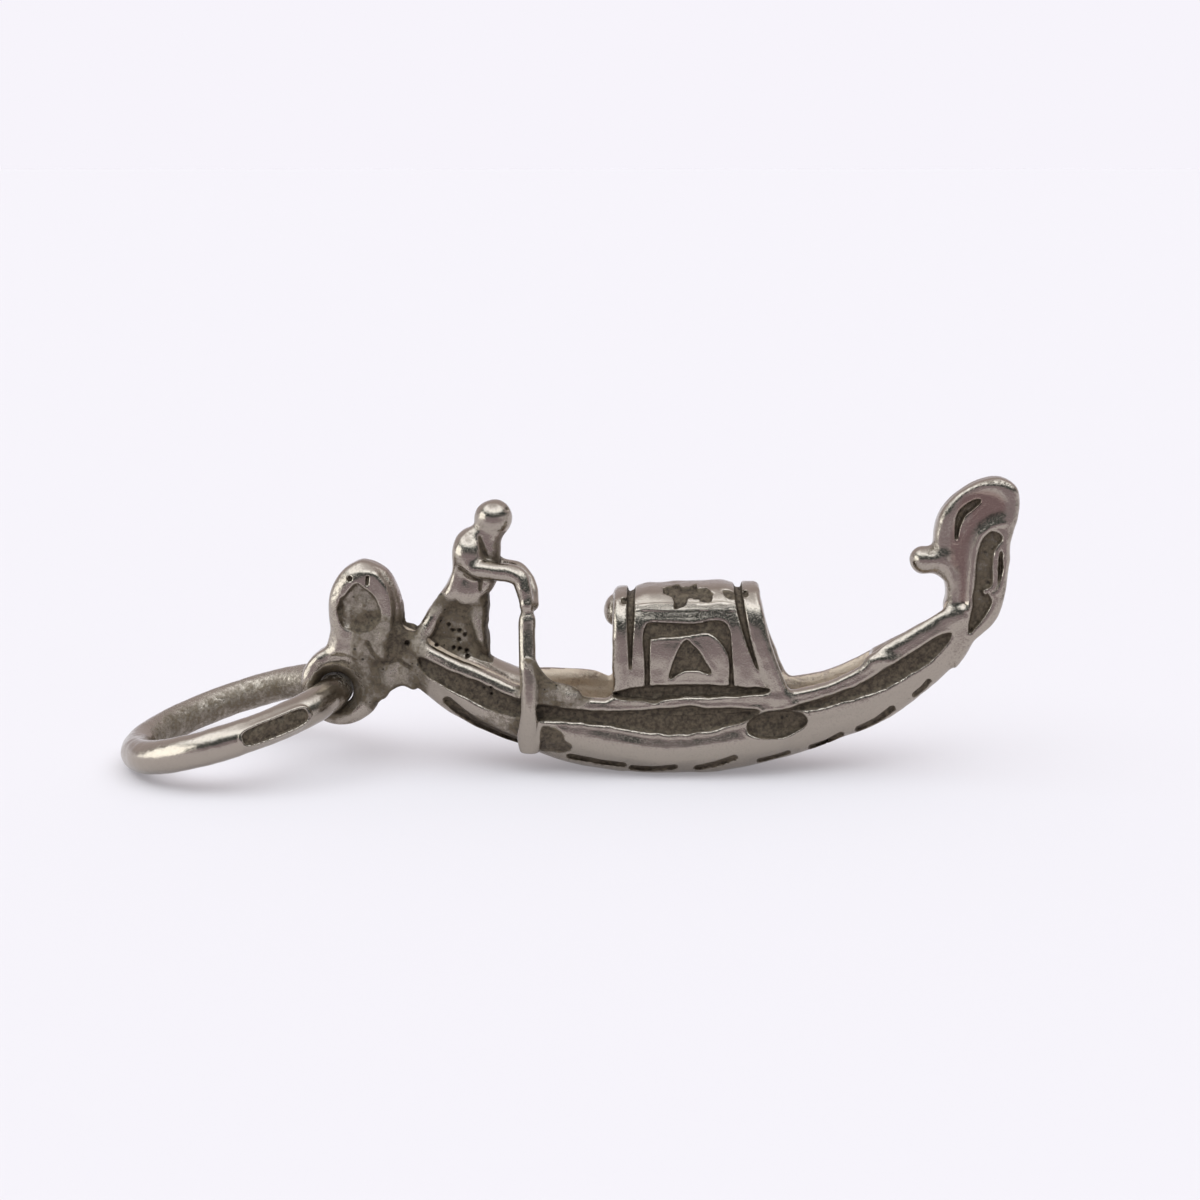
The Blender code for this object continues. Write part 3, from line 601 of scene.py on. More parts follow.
# Sunk areas: node, outline, depth, width of the wall down to the floor, height of the lip
SUNK = (
    ("hull_shell", SIDE_PANEL, 0.13, 0.13, 0.012),
    ("hull_shell", BOW_PANEL, 0.10, 0.15, 0.008),
    ("hull_shell", OVAL, 0.14, 0.10, 0.014),
    ("hull_shell", OAR_HOLLOW, 0.07, 0.30, 0.0),
    ("cabin_side", TRIANGLE, 0.12, 0.08, 0.007),
    ("cabin_foot", BASE, 0.14, 0.12, 0.0),
    ("bow_iron", CRESCENT, 0.13, 0.08, 0.010),
    ("bow_iron", LEAF, 0.13, 0.08, 0.012),
)
FRAME_CUT = (0.12, 0.07, 0.007)  # depth, width of the wall and lip of the cabin's frame
DISH_CUT, SCROLL_CUT = (0.08, 0.36), (0.13, 0.12)  # depth and width of the wall
SEAM_CUT, ROOF_CUT = (0.12, 0.09), (0.13, 0.10)
# Dashes along the keel: half width, depth, and the line as pairs of x and z
DASHES = (
    (0.08, 0.1, -2.6, 0.58, -2.2, 0.52, -1.6, 0.42, -1.05, 0.36),
    (0.09, 0.1, -0.76, 0.25, -0.2, 0.23, 0.44, 0.33),
    (0.09, 0.1, 1.14, 0.3, 1.66, 0.44, 2.18, 0.66),
    (0.08, 0.09, 2.96, 0.48, 3.36, 0.58, 3.74, 0.71),
    (0.08, 0.09, 4.47, 0.84, 4.9, 0.98, 5.3, 1.22),
    (0.09, 0.09, 5.84, 1.38, 6.34, 1.62, 6.78, 1.98),
    (0.07, 0.08, 7.46, 2.4, 7.66, 2.56, 7.84, 2.78),
)
# Grooves: node, half width, depth, width of the walls, line
GROOVES = routes(4,
    ("hull_shell", 0.12, 0.12, 0.12, -6.2, 2.12, -5.8, 1.78, -5.36, 1.48, -4.8, 1.22, -4.1, 0.94),
    *(("hull_shell", width, depth, 0.1, *line) for width, depth, *line in DASHES),
    ("gondolier_torso", 0.03, 0.06, 0.16, -5.82, 6.06, -5.5, 5.88, -5.22, 5.7, -5.24, 5.42),
    ("gondolier_torso", 0.03, 0.05, 0.2, -5.24, 6.96, -5.16, 6.7, -5.04, 6.4),
    ("stern_scroll", 0.035, 0.1, 0.06, -8.51, 5.78, -8.53, 5.58),
    ("stern_neck", 0.04, 0.04, 0.16, -8.56, 3.84, -8.4, 3.5, -8.14, 3.2, -7.9, 3.24, -7.7, 3.3,
     -7.33, 3.06),
)
# Ridges: node, half width, height, line
RIDGES = routes(3,
    ("hull_shell", 0.24, 0.05, -7.05, 3.14, -6.2, 2.5, -5.4, 1.95, -4.5, 1.42),
    ("hull_shell", 0.7, 0.17, -3.4, 1.36, -2.7, 1.24, -1.7, 1.02, -0.6, 0.82, 0.3, 0.74, 1.3, 0.82,
     2.2, 1, 3.4, 1.14),
    ("hull_shell", 0.26, 0.04, 4.2, 1.84, 5.5, 2.1, 6.5, 2.44, 7.3, 2.88, 7.9, 3.28),
    ("bow_iron", 0.13, 0.03, 8.92, 4.9, 8.95, 5.5, 8.98, 6.1, 9.03, 6.7, 9.2, 7.12, 9.5, 7.36,
     9.86, 7.44),
    ("stern_neck", 0.07, 0.03, -8.24, 3.03, -8.17, 2.68, -8.16, 2.33, -8.3, 1.98),
)
# Round pits: node, radius, depth, middles
PITS = routes(3,
    ("gondolier_web", 0.045, 0.10, -6.08, 4.15, -5.87, 4.15, -5.72, 4.03, -5.9, 3.88, -5.88, 3.61,
     -6.05, 3.64, -5.67, 3.55, -6.19, 4.33, -6.56, 3.72, -5.64, 3.4),
    ("hull_shell", 0.05, 0.20, -5.11, 2.6, -4.9, 2.64, -4.88, 2.43),
    ("stern_neck", 0.07, 0.12, -7.4, 3.81),
    ("stern_scroll", 0.07, 0.10, -9.04, 5.72),
    ("cabin_rear_band", 0.07, 0.06, -1.05, 5.19),
    ("cabin_front_band", 0.07, 0.06, 2.47, 5.41),
    ("gondolier_head", 0.05, 0.06, -4.45, 7.78),
)
# The ragged pit on the near side of the roof, and a shallow one beside it, seen from above
ROOF_PIT = table(2,
    0.07, -0.45, 0.34, -0.3, 0.5, -0.12, 0.62, -0.4, 0.86, -0.46, 1.02, -0.2, 1.1, -0.55,
    1.34, -0.55, 1.5, -0.84, 1.44, -1, 1.18, -0.96, 0.92, -0.86, 0.66, -1.06, 0.46, -1.08,
    0.38, -0.84, 0.12, -0.72)
ROOF_DENT, DENT_DEPTH = ((2.01, -0.79), (0.20, 0.13)), 0.05


def carve(distance, depth, wall, lip=0.0):
    """Depth of a cut with its outline at distance 0, and metal thrown up in a lip around it."""
    cut = depth * step(0.5 - distance / wall)
    return cut - lip * step(1 - np.abs(distance - 0.10) / 0.09) if lip else cut


def near(distance, reach=0.12):
    """1 on a node's surface, fading out beyond reach."""
    return step(2 - distance / reach)


def spot(x, z, middle, radii):
    """How far out x and z lie, with 1 on the rim of an oval."""
    return np.hypot((x - middle[0]) / radii[0], (z - middle[1]) / radii[1])


def band_seams(p):
    """Distance to the grooves between cabin panels and bands, which end in a point low down."""
    taper = 0.025 + 0.075 * step((p[:, 2] - 3.3) / 1.8)
    from_rear = np.abs(p[:, 0] - REAR_BAND[1])
    from_front = np.abs(p[:, 0] - FRONT_BAND[0] - lean(p))
    return np.minimum(from_rear, from_front) - taper, step((p[:, 2] - 3.15) / 0.5)


def chasing(p, d):
    """Depth of the dark cuts at each point, and of the other hollows, less the ridges' height."""
    x, y, z = p.T
    cut, form = np.zeros(len(p)), np.zeros(len(p))
    surfaces = {**d, "hull_shell": nearest(d, *HULL_SKIN), "cabin_side": nearest(d, *CABIN_SIDES),
                "cabin_foot": nearest(d, *HULL_SKIN, *CABIN_SIDES, *CABIN_BANDS)}
    outward = {"hull_shell": (hull_outside(p) > -0.3) & (np.abs(y) > 0.2),
               "cabin_side": np.abs(y) > 0.9, "cabin_foot": np.abs(y) > 0.9}
    everywhere = np.abs(y) > 0.12

    def around(node, corners, reach):
        low, high = corners.min(0) - reach, corners.max(0) + reach
        return np.flatnonzero((surfaces[node] < 0.3) & outward.get(node, everywhere)
                              & (x > low[0]) & (x < high[0]) & (z > low[1]) & (z < high[1]))

    def deepen(chosen, depth):
        cut[chosen] = np.maximum(cut[chosen], depth)

    def cut_in(node, corners, make, reach=0.3):
        chosen = around(node, corners, reach)
        if len(chosen):
            value = make(x[chosen], z[chosen]) * near(surfaces[node][chosen])
            deepen(chosen, value)
            form[chosen] += np.minimum(value, 0)

    def ragged(a, b):
        return 0.022 * noise(np.column_stack((a, a * 0, b)), 0.28, 6)

    for node, corners, *size in SUNK:
        cut_in(node, corners, lambda a, b: carve(
            flat_gap(a, b, corners) + ragged(a, b), *size))
    for node, width, depth, wall, line in GROOVES:
        cut_in(node, line, lambda a, b: carve(
            flat_gap(a, b, line, False) - width, depth, wall))
    for node, radius, depth, places in PITS:
        for place in places:
            cut_in(node, place[None], lambda a, b: carve(
                np.hypot(a - place[0], b - place[1]) - radius, depth, 0.05))
    cut_in("stern_scroll", SCROLL_RECESS, lambda a, b: step((b - 4.05) / 0.4) * carve(
        flat_gap(a, b, SCROLL_RECESS) + 3 * ragged(a, b), *SCROLL_CUT))
    for node, width, height, line in RIDGES:
        cut_in(node, line, lambda a, b: -height * step(
            1 - flat_gap(a, b, line, False) / width), width)
    chosen = around("bow_iron", DISH, 0.3)
    form[chosen] += carve(flat_gap(x[chosen], z[chosen], DISH), *DISH_CUT)
    cut[chosen] *= step(flat_gap(x[chosen], z[chosen], LEAF_RIB, False) / 0.12 - 0.35)

    chosen = around("cabin_side", FRAME_OUTSIDE, 0.3)
    a, b = x[chosen], z[chosen]
    inside = flat_gap(a, b, FRAME_INSIDE)
    frame_cut = carve(np.maximum(flat_gap(a, b, FRAME_OUTSIDE), -inside), *FRAME_CUT)
    frame_cut = frame_cut * near(surfaces["cabin_side"][chosen])
    deepen(chosen, frame_cut)
    boss = BOSS_HEIGHT * step(1.3 - spot(a, b, *BOSS))
    form[chosen] += np.minimum(frame_cut, 0) - boss * (inside < 0.05)

    by_band = (np.abs(x - REAR_BAND[1]) < 0.3) | (x > FRONT_BAND[0] - 0.3)
    shell = nearest(d, *CABIN_SIDES, "cabin_roof")
    chosen = np.flatnonzero((shell < 0.4) & (z > 3.1) & by_band)
    seam, depth = band_seams(p[chosen])
    deepen(chosen, depth * carve(seam, *SEAM_CUT))
    chosen = np.flatnonzero((d["cabin_roof"] < 0.3) & (z > 4.8) & (y < 0.2))
    pit = flat_gap(x[chosen], y[chosen], ROOF_PIT) + 0.04 * noise(p[chosen], 0.16, 7)
    dent = DENT_DEPTH * step(1.5 - spot(x[chosen], y[chosen], *ROOF_DENT))
    deepen(chosen, np.maximum(carve(pit, *ROOF_CUT), dent))
    return cut, form


def lumps(p, d):
    """Cast unevenness: faint on polished metal, strong where the casting was left rough."""
    rough = near(d["stern_neck"], 0.15) * 0.018 + near(d["gondolier_web"], 0.12) * 0.016
    uneven = (0.016 * noise(p, 0.9, 3) + 0.014 * noise(p, 0.42, 1)
              + (0.006 + rough) * noise(p, 0.22, 2))
    from_wire = np.hypot(p[:, 0] - PIVOT[0], p[:, 2] - PIVOT[2])
    return uneven * step((from_wire - 0.75) / 0.3)


def node_box(name, margin=0.0):
    low_x, high_x, half, low_z, high_z = NODES[name][:5]
    return np.array((low_x, -half, low_z)) - margin, np.array((high_x, half, high_z)) + margin


def distances(p):
    """Each node's distance at every point, cheap where it is far away."""
    out = {}
    for name in NAMES:
        low, high = node_box(name)
        gap = np.linalg.norm(np.maximum(np.maximum(low - p, p - high), 0), axis=1)
        out[name] = gap + 0.05
        close = np.flatnonzero(gap < REACH)
        if len(close):
            field, *settings = NODES[name][5:]
            out[name][close] = field(p[close], *settings)
    return out


def solid_inside(p):
    """Distance to hull and cabin as if they weren't hollow, so that cuts go in from outside."""
    (_, rail, _), _ = station(p[:, 0])
    hull = np.maximum(hull_outside(p), p[:, 2] - rail + 0.08)
    length = np.maximum(REAR_BAND[0] - p[:, 0], p[:, 0] - FRONT_BAND[1] - lean(p))
    cabin = np.maximum(arch(p, CABIN_HALF, crown_at(p[:, 0])),
                       np.maximum(length, CABIN_FOOT - p[:, 2]))
    return np.minimum(hull, cabin)


def casting(p):
    """The joined and chased surface, each node's own distance, and the depth of the cuts."""
    d = distances(p)
    cut, form = chasing(p, d)
    total = melt(d, JOINED) + lumps(p, d) + form
    rough = 0.014 * noise(p, 0.16, 4) + 0.010 * noise(p, 0.09, 8)
    rough = rough + near(d["stern_scroll"]) * (rough + 0.03 * noise(p, 0.27, 12))
    floor = np.minimum(total, solid_inside(p)) + (cut + step(cut / 0.08) * rough)
    return np.where(cut > 0, np.maximum(total, floor), total), d, cut


def share(name, total, d):
    """One node's share of the casting, closed off where another node is nearer."""
    past = d[name] - nearest(d, *(other for other in NAMES if other != name))
    return total + SINK * np.maximum(past, 0), past - OVERLAP


def piece_field(name, p):
    total, d, _ = casting(p)
    return np.maximum(*share(name, total, d))


# Meshing

EDGES = [(a, b) for a in range(8) for b in range(a + 1, 8) if bin(a ^ b).count("1") == 1]
CORNERS = np.array([(k & 1, k >> 1 & 1, k >> 2 & 1) for k in range(8)])
BLOCK = 6  # cells along a block
BATCH = 250000  # points worked out at a time


def lattice_values(field, low, counts):
    """Field values on a lattice, worked out only in the blocks that the surface may cross."""
    blocks = -(-counts // BLOCK)

    def spread(values):
        values = values.reshape(blocks)
        for axis in range(3):
            values = np.repeat(values, BLOCK, axis)
        return values[:counts[0], :counts[1], :counts[2]]

    centres = (np.indices(blocks).reshape(3, -1).T + 0.5) * BLOCK - 0.5
    rough = field(low + centres * CELL)
    values = spread(rough).copy()
    crossed = spread(np.abs(rough) < BLOCK * CELL * 0.87 + 0.18)
    points = np.argwhere(crossed)
    batches = np.array_split(points, len(points) // BATCH + 1)
    values[crossed] = np.concatenate([field(low + batch * CELL) for batch in batches])
    return values


def surface_net(field, low, high):
    """Vertices and quads of the surface where field is zero."""
    counts = np.ceil((high - low) / CELL).astype(int) + 2
    values = lattice_values(field, low, counts)
    inside = values < 0
    shape = counts - 1
    filled = sum(inside[i:i + shape[0], j:j + shape[1], k:k + shape[2]].astype(np.int8)
                 for i, j, k in CORNERS)
    cells = np.argwhere((filled > 0) & (filled < 8))
    at = [values[tuple((cells + corner).T)] for corner in CORNERS]
    total = np.zeros((len(cells), 3))
    hits = np.zeros(len(cells))
    for a, b in EDGES:
        crossed = (at[a] < 0) != (at[b] < 0)
        t = np.where(crossed, at[a] / np.where(crossed, at[a] - at[b], 1), 0)[:, None]
        total += np.where(crossed[:, None], CORNERS[a] + t * (CORNERS[b] - CORNERS[a]), 0)
        hits += crossed
    points = low + (cells + total / hits[:, None]) * CELL
    index = np.full(shape, -1)
    index[tuple(cells.T)] = np.arange(len(cells))
    quads = []
    for axis in range(3):
        second, third = (axis + 1) % 3, (axis + 2) % 3
        after, one, two = np.eye(3, dtype=int)[[axis, second, third]]
        start = inside[tuple(slice(0, n - s) for n, s in zip(counts, after))]
        end = inside[tuple(slice(s, n) for n, s in zip(counts, after))]
        edges = np.argwhere(start != end)
        edges = edges[(edges[:, second] > 0) & (edges[:, third] > 0) & (edges < shape).all(1)]
        faces = np.column_stack([index[tuple((edges - shift).T)]
                                 for shift in (0 * one, one, one + two, two)])
        outward = start[tuple(edges.T)]
        faces[~outward] = faces[~outward][:, ::-1]
        quads.append(faces[(faces >= 0).all(1)])
    return points, np.vstack(quads)


TETRA = np.array(((1, -1, -1), (-1, -1, 1), (-1, 1, -1), (1, 1, 1)), float)
PROBE = 0.012


def slope_of(samples):
    """Slope and mean of a field from its values at four probes around each point."""
    slope = sum(value[:, None] * corner for value, corner in zip(samples, TETRA)) / (4 * PROBE)
    return slope, sum(samples) / 4


def unit(vectors):
    return vectors / np.maximum(np.linalg.norm(vectors, axis=1), 1e-9)[:, None]


def mesh_of(field, low, high):
    """Vertices moved onto the surface itself, quads, and the surface's normals."""
    points, quads = surface_net(field, low, high)
    for _ in range(2):
        slope, value = slope_of([field(points + corner * PROBE) for corner in TETRA])
        move = slope * (value / np.maximum((slope ** 2).sum(1), 0.2))[:, None]
        length = np.linalg.norm(move, axis=1)[:, None]
        points = points - move * np.minimum(1, 0.5 * CELL / np.maximum(length, 1e-9))
    return points, quads, unit(slope)


def shading_normals(name, points, normals):
    """Normals of the whole casting, so that neighbouring pieces shade as one surface."""
    samples = [casting(points + corner * PROBE)[0] for corner in TETRA]
    total, d, _ = casting(points)
    skin, wall = share(name, total, d)
    return np.where((skin > wall - 0.01)[:, None], unit(slope_of(samples)[0]), normals)


def hollowness(points, normals):
    """How much metal stands over each point: 0 on open surfaces, towards 1 deep in a recess."""
    shade = np.zeros(len(points))
    for reach, weight in ((0.12, 0.5), (0.30, 0.3), (0.60, 0.2)):
        shade += weight * np.clip(1 - casting(points + normals * reach)[0] / reach, 0, 1)
    return shade


def add_object(name, data):
    made = bpy.data.objects.new(name, data)
    bpy.context.scene.collection.objects.link(made)
    return made


def make_piece(name, points, quads, normals, finish_and_shade):
    """A mesh with its own normals; finish_and_shade holds each vertex's tarnish with painted shade,
    warmth and cast grain.
    """
    mesh = bpy.data.meshes.new(name)
    mesh.from_pydata((points * METRES).tolist(), [], quads.tolist())
    mesh.shade_smooth()
    attribute = mesh.attributes.new("finish_and_shade", "FLOAT_VECTOR", "POINT")
    attribute.data.foreach_set("vector", np.column_stack(finish_and_shade).astype(np.float32).ravel())
    mesh.normals_split_custom_set_from_vertices(normals.tolist())
    return add_object(name, mesh)


# Materials. Colours are linear, with an alpha of 1.

# WARM_FILM_AND_SHADE is the warm film inside the hull and in the iron's dish, and the painted shade
# on walls facing away from the lights.
POLISHED, WARM_FILM_AND_SHADE = (0.368, 0.326, 0.276, 1), (0.265, 0.182, 0.155, 1)
OXIDE_DARK, OXIDE_PALE = (0.048, 0.035, 0.023, 1), (0.145, 0.114, 0.076, 1)
BROWN_FILM = (0.640, 0.540, 0.425, 1)
PIT_BLACK = (0.012, 0.010, 0.008, 1)
# Clouds: noise scale in 1/mm, detail, roughness
GRAIN, PATCH, FINE_GRAIN = (8.0, 5.0, 0.65), (1.5, 3.0, 0.55), (22.0, 3.0, 0.6)
HOLES_SCALE, HOLES_SIZE = 3.6, 0.16
BUMP_HEIGHT = 0.05  # millimetres


def put(socket, value):
    """Set a socket to a value, or link another socket to it."""
    if isinstance(value, (int, float, tuple)):
        socket.default_value = value
    else:
        socket.id_data.links.new(value, socket)


def add_node(tree, kind, inputs, **settings):
    """A node with its settings made, and its inputs set or linked."""
    made = tree.nodes.new("ShaderNode" + kind)
    for key, value in settings.items():
        setattr(made, key, value)
    for key, value in dict(inputs).items():
        put(made.inputs[key], value)
    return made


def new_material(name, **inputs):
    """A material and its shader, with inputs by name, in which _ stands for a space."""
    material = bpy.data.materials.new(name)
    material.use_nodes = True
    shader = material.node_tree.nodes["Principled BSDF"]
    for key, value in inputs.items():
        put(shader.inputs[key.replace("_", " ")], value)
    return material, shader


def silver(name):
    """Silver with oxide and painted shade, a warm film that is partly painted shade, and cast
    grain, as the finish_and_shade attribute says: x, y and z.
    """
    material, shader = new_material(name)
    node = partial(add_node, material.node_tree)

    def calculate(operation, *values):
        return node("Math", enumerate(values), operation=operation).outputs[0]

    add, subtract, times = (partial(calculate, kind) for kind in ("ADD", "SUBTRACT", "MULTIPLY"))

    def ramp(value, low, high):
        return node("MapRange", {"Value": value, "From Min": low, "From Max": high},
                    interpolation_type="SMOOTHSTEP").outputs["Result"]

    def mix(factor, a, b):
        return node("Mix", {"Factor": factor, 6: a, 7: b}, data_type="RGBA",
                    clamp_factor=True).outputs[2]

    coordinates = node("TexCoord", {}).outputs["Object"]
    place = node("VectorMath", {0: coordinates, "Scale": 1 / METRES}, operation="SCALE").outputs[0]

    def cloud(scale, detail, rough):
        return node("TexNoise", {"Vector": place, "Scale": scale, "Detail": detail,
                                 "Roughness": rough}).outputs["Fac"]

    finish_and_shade = node("Attribute", {}, attribute_name="finish_and_shade").outputs["Vector"]
    tarnish_and_shade, warmth, cast = node("SeparateXYZ", {0: finish_and_shade}).outputs
    grain, patch, fine = cloud(*GRAIN), cloud(*PATCH), cloud(*FINE_GRAIN)
    holes = node("TexVoronoi", {"Vector": place, "Scale": HOLES_SCALE}).outputs

    level = add(tarnish_and_shade, times(subtract(grain, 0.5), 0.8))
    level = add(level, times(subtract(patch, 0.5), 0.6))
    speckle = times(ramp(fine, 0.50, 0.66), times(cast, 0.45))
    oxide = calculate("MAXIMUM", ramp(level, 0.20, 0.62), speckle)
    from_edge = subtract(holes["Distance"], times(holes["Color"], HOLES_SIZE))
    pit = times(subtract(1.0, ramp(from_edge, 0.0, 0.06)), ramp(cast, 1.2, 1.8))
    film_and_shade = times(warmth, ramp(patch, 0.20, 0.52))

    # Painted shade: where tarnish_and_shade runs high, as in deep corners, undersides and the eye's
    # hole, the oxide is painted darker.
    depth = times(subtract(tarnish_and_shade, 0.9), 0.6)
    dull = mix(subtract(ramp(grain, 0.30, 0.70), depth), OXIDE_DARK, OXIDE_PALE)
    dull = mix(ramp(warmth, 0.70, 1.1), dull, BROWN_FILM)
    coloured = mix(oxide, mix(film_and_shade, POLISHED, WARM_FILM_AND_SHADE), dull)
    put(shader.inputs["Base Color"], mix(pit, coloured, PIT_BLACK))
    put(shader.inputs["Metallic"], subtract(1.0, times(oxide, 0.5)))
    rough = add(add(times(fine, 0.14), 0.10), times(cast, 0.06))
    put(shader.inputs["Roughness"], add(rough, times(oxide, 0.34)))

    relief = times(grain, add(times(oxide, 0.9), 0.05))
    relief = subtract(add(relief, times(fine, times(cast, 0.10))), times(pit, 1.4))
    bump = node("Bump", {"Strength": 0.7, "Distance": BUMP_HEIGHT * METRES, "Height": relief})
    put(shader.inputs["Normal"], bump.outputs["Normal"])
    return material


# Ring

MARK_MIDDLE, MARK_ARC, MARK_HALF = math.radians(-121), math.radians(17), 0.27  # the worn panel
RING_BOX = np.array((-16.4, -3.9, -0.3)), np.array((-8.5, 3.9, 3.1))
DIP = math.asin((PIVOT[2] - WIRE_RADIUS) / (2 * RING_RADIUS))
# Directions from the eye to the ring's far side, across the ring, and up from its plane
AWAY, ACROSS, UP = np.array(((-math.cos(DIP), 0, -math.sin(DIP)), (0, 1, 0),
                             (-math.sin(DIP), 0, math.cos(DIP))))


def ring_place(p):
    """Distance out from the ring's middle, height over its plane, and distance to the panel."""
    q = p - PIVOT - AWAY * RING_RADIUS
    flat, height = np.hypot(q @ AWAY, q @ ACROSS), q @ UP
    along = (np.arctan2(q @ ACROSS, q @ AWAY) - MARK_MIDDLE) * RING_RADIUS
    edge = rounded(along, height, MARK_ARC * RING_RADIUS, MARK_HALF, 4.0)
    return flat, height, np.where(flat > RING_RADIUS, edge, 1.0)


def ring_field(p):
    flat, height, edge = ring_place(p)
    wire = np.hypot(flat - RING_RADIUS, height) - WIRE_RADIUS
    panel = 0.08 * step(-edge / 0.08) - 0.03 * step(1 - np.abs(edge - 0.03) / 0.07)
    floor = step(-edge / 0.1) * (0.045 * noise(p, 0.17, 9) + 0.02 * noise(p, 0.1, 10))
    calm = step((np.linalg.norm(p - PIVOT, axis=1) - 0.7) / 0.5)
    return wire + panel + floor + calm * (0.014 * noise(p, 0.6, 5) + 0.006 * noise(p, 0.22, 6))


def ring_finish_and_shade(p):
    flat, _, edge = ring_place(p)
    inner = step((RING_RADIUS - flat) / WIRE_RADIUS * 2 - 0.9) * 0.2
    # Painted shade: the wire is darkened where it runs through the eye, in its shadow.
    eye_shade = step(1.5 - np.linalg.norm(p - PIVOT, axis=1) / 0.9) * 0.35
    aged = step((p[:, 1] + 0.5) / 1.5)
    tarnish_and_shade = 0.05 + 0.9 * step(-edge / 0.05) + inner + eye_shade + 0.22 * aged
    return tarnish_and_shade, np.zeros(len(p)), 0.12 + 0.40 * aged


# Stage. The sky is what the metal mirrors, from the horizon, 0, to straight up, 1.

SKY_PEAK = 3.5
SKY = (
    (0.00, (0.930, 0.905, 0.965)),
    (0.080, (0.930, 0.905, 0.965)),
    (0.13, (0.36, 0.33, 0.36)),
    (0.22, (0.10, 0.115, 0.115)),
    (0.54, (0.09, 0.105, 0.105)),
    (0.72, (2.60, 2.75, 2.90)),
    (0.90, (2.30, 2.40, 2.55)),
    (0.97, (1.10, 1.10, 1.15)),
    (1.00, (1.00, 1.00, 1.05)),
)
# The sweep behind the charm: its colour, and where it sets in to the back and above the floor
BEHIND, BEHIND_FROM, ABOVE_FROM = (0.67, 0.60, 0.61), (0.05, 0.40), (0.08, 0.18)
# A soft sun that metal doesn't mirror evens out the light on the floor
SUN_STRENGTH, SUN_ANGLE, SUN_AIM = 0.35, math.radians(70), (0.1, 0.25, -1)
PAPER_SIZE, PAPER_DROP = 40.0, 0.00001  # metres
PAPER, PAPER_GLOW, GLOW_STRENGTH = (0.567, 0.548, 0.556, 1), (0.930, 0.905, 0.965, 1), 0.25
# Cards that only reflections see: name, radiance, and corners in millimetres as strips across
CARDS = (
    ("front_card", (0.50, 0.43, 0.49), (((-250, -15.5, 0.05), (250, -15.5, 0.05)),
                                        ((-250, -250, 0.05), (250, -250, 0.05)),
                                        ((-250, -300, 36), (250, -300, 36)))),
    ("left_card", (2.9, 3.0, 3.0), (((-70, -58, 0.1), (-70, 8, 0.1)),
                                    ((-70, -58, 42), (-70, 8, 42)))),
)
# Camera: the photograph's view, from the oar's side, a little to the bow and above
AZIMUTH, ELEVATION, FIELD_OF_VIEW = math.radians(2), math.radians(12), math.radians(32.69)
TARGET, CAMERA_DISTANCE = (-1.76, 0, 5.04), 0.060


def dimmed(colour, peak):
    """A colour divided by the strength that brightens it again."""
    return (*(channel / peak for channel in colour), 1)


def stage():
    bpy.ops.mesh.primitive_plane_add(size=PAPER_SIZE, location=(0, 0, -PAPER_DROP))
    floor = bpy.context.object
    floor.name = "floor"
    paper, _ = new_material("paper", Base_Color=PAPER, Roughness=1.0, Specular_IOR_Level=0,
                            Emission_Color=PAPER_GLOW, Emission_Strength=GLOW_STRENGTH)
    floor.data.materials.append(paper)

    for name, radiance, rows in CARDS:
        mesh = bpy.data.meshes.new(name)
        corners = [tuple(value * METRES for value in corner) for row in rows for corner in row]
        strips = range(0, len(corners) - 2, 2)
        mesh.from_pydata(corners, [], [(k, k + 1, k + 3, k + 2) for k in strips])
        glow, _ = new_material(name, Base_Color=(0, 0, 0, 1), Specular_IOR_Level=0,
                               Emission_Color=dimmed(radiance, max(radiance)),
                               Emission_Strength=max(radiance))
        mesh.materials.append(glow)
        card = add_object(name, mesh)
        card.visible_camera = card.visible_diffuse = card.visible_shadow = False

    world = bpy.data.worlds.new("studio")
    bpy.context.scene.world = world
    world.use_nodes = True
    node = partial(add_node, world.node_tree)
    direction = node("TexCoord", {}).outputs["Generated"]
    _, back, up = node("SeparateXYZ", {0: direction}).outputs
    sky = node("ValToRGB", {"Fac": up})
    blends = [node("MapRange", {"Value": value, "From Min": low, "From Max": high}).outputs[0]
              for value, (low, high) in ((back, BEHIND_FROM), (up, ABOVE_FROM))]
    both = node("Math", enumerate(blends), operation="MULTIPLY").outputs[0]
    sweep = node("Mix", {"Factor": both, 6: sky.outputs["Color"], 7: dimmed(BEHIND, SKY_PEAK)},
                 data_type="RGBA")
    background = world.node_tree.nodes["Background"]
    put(background.inputs["Color"], sweep.outputs[2])
    put(background.inputs["Strength"], SKY_PEAK)
    stops = sky.color_ramp.elements
    while len(stops) < len(SKY):
        stops.new(0.5)
    for stop, (place, colour) in zip(stops, SKY):
        stop.position, stop.color = place, dimmed(colour, SKY_PEAK)

    data = bpy.data.lights.new("soft_sun", "SUN")
    data.energy, data.angle = SUN_STRENGTH, SUN_ANGLE
    sun = add_object("soft_sun", data)
    sun.rotation_euler = Vector(SUN_AIM).to_track_quat("-Z", "Y").to_euler()
    sun.visible_glossy = False


def camera():
    ahead = Vector((-math.sin(AZIMUTH) * math.cos(ELEVATION),
                    math.cos(AZIMUTH) * math.cos(ELEVATION), -math.sin(ELEVATION)))
    data = bpy.data.cameras.new("camera")
    data.angle = FIELD_OF_VIEW
    data.clip_start, data.clip_end = 0.001, 10
    view = add_object("camera", data)
    view.location = Vector(TARGET) * METRES - ahead * CAMERA_DISTANCE
    view.rotation_euler = ahead.to_track_quat("-Z", "Y").to_euler()
    bpy.context.scene.camera = view


# Assembly

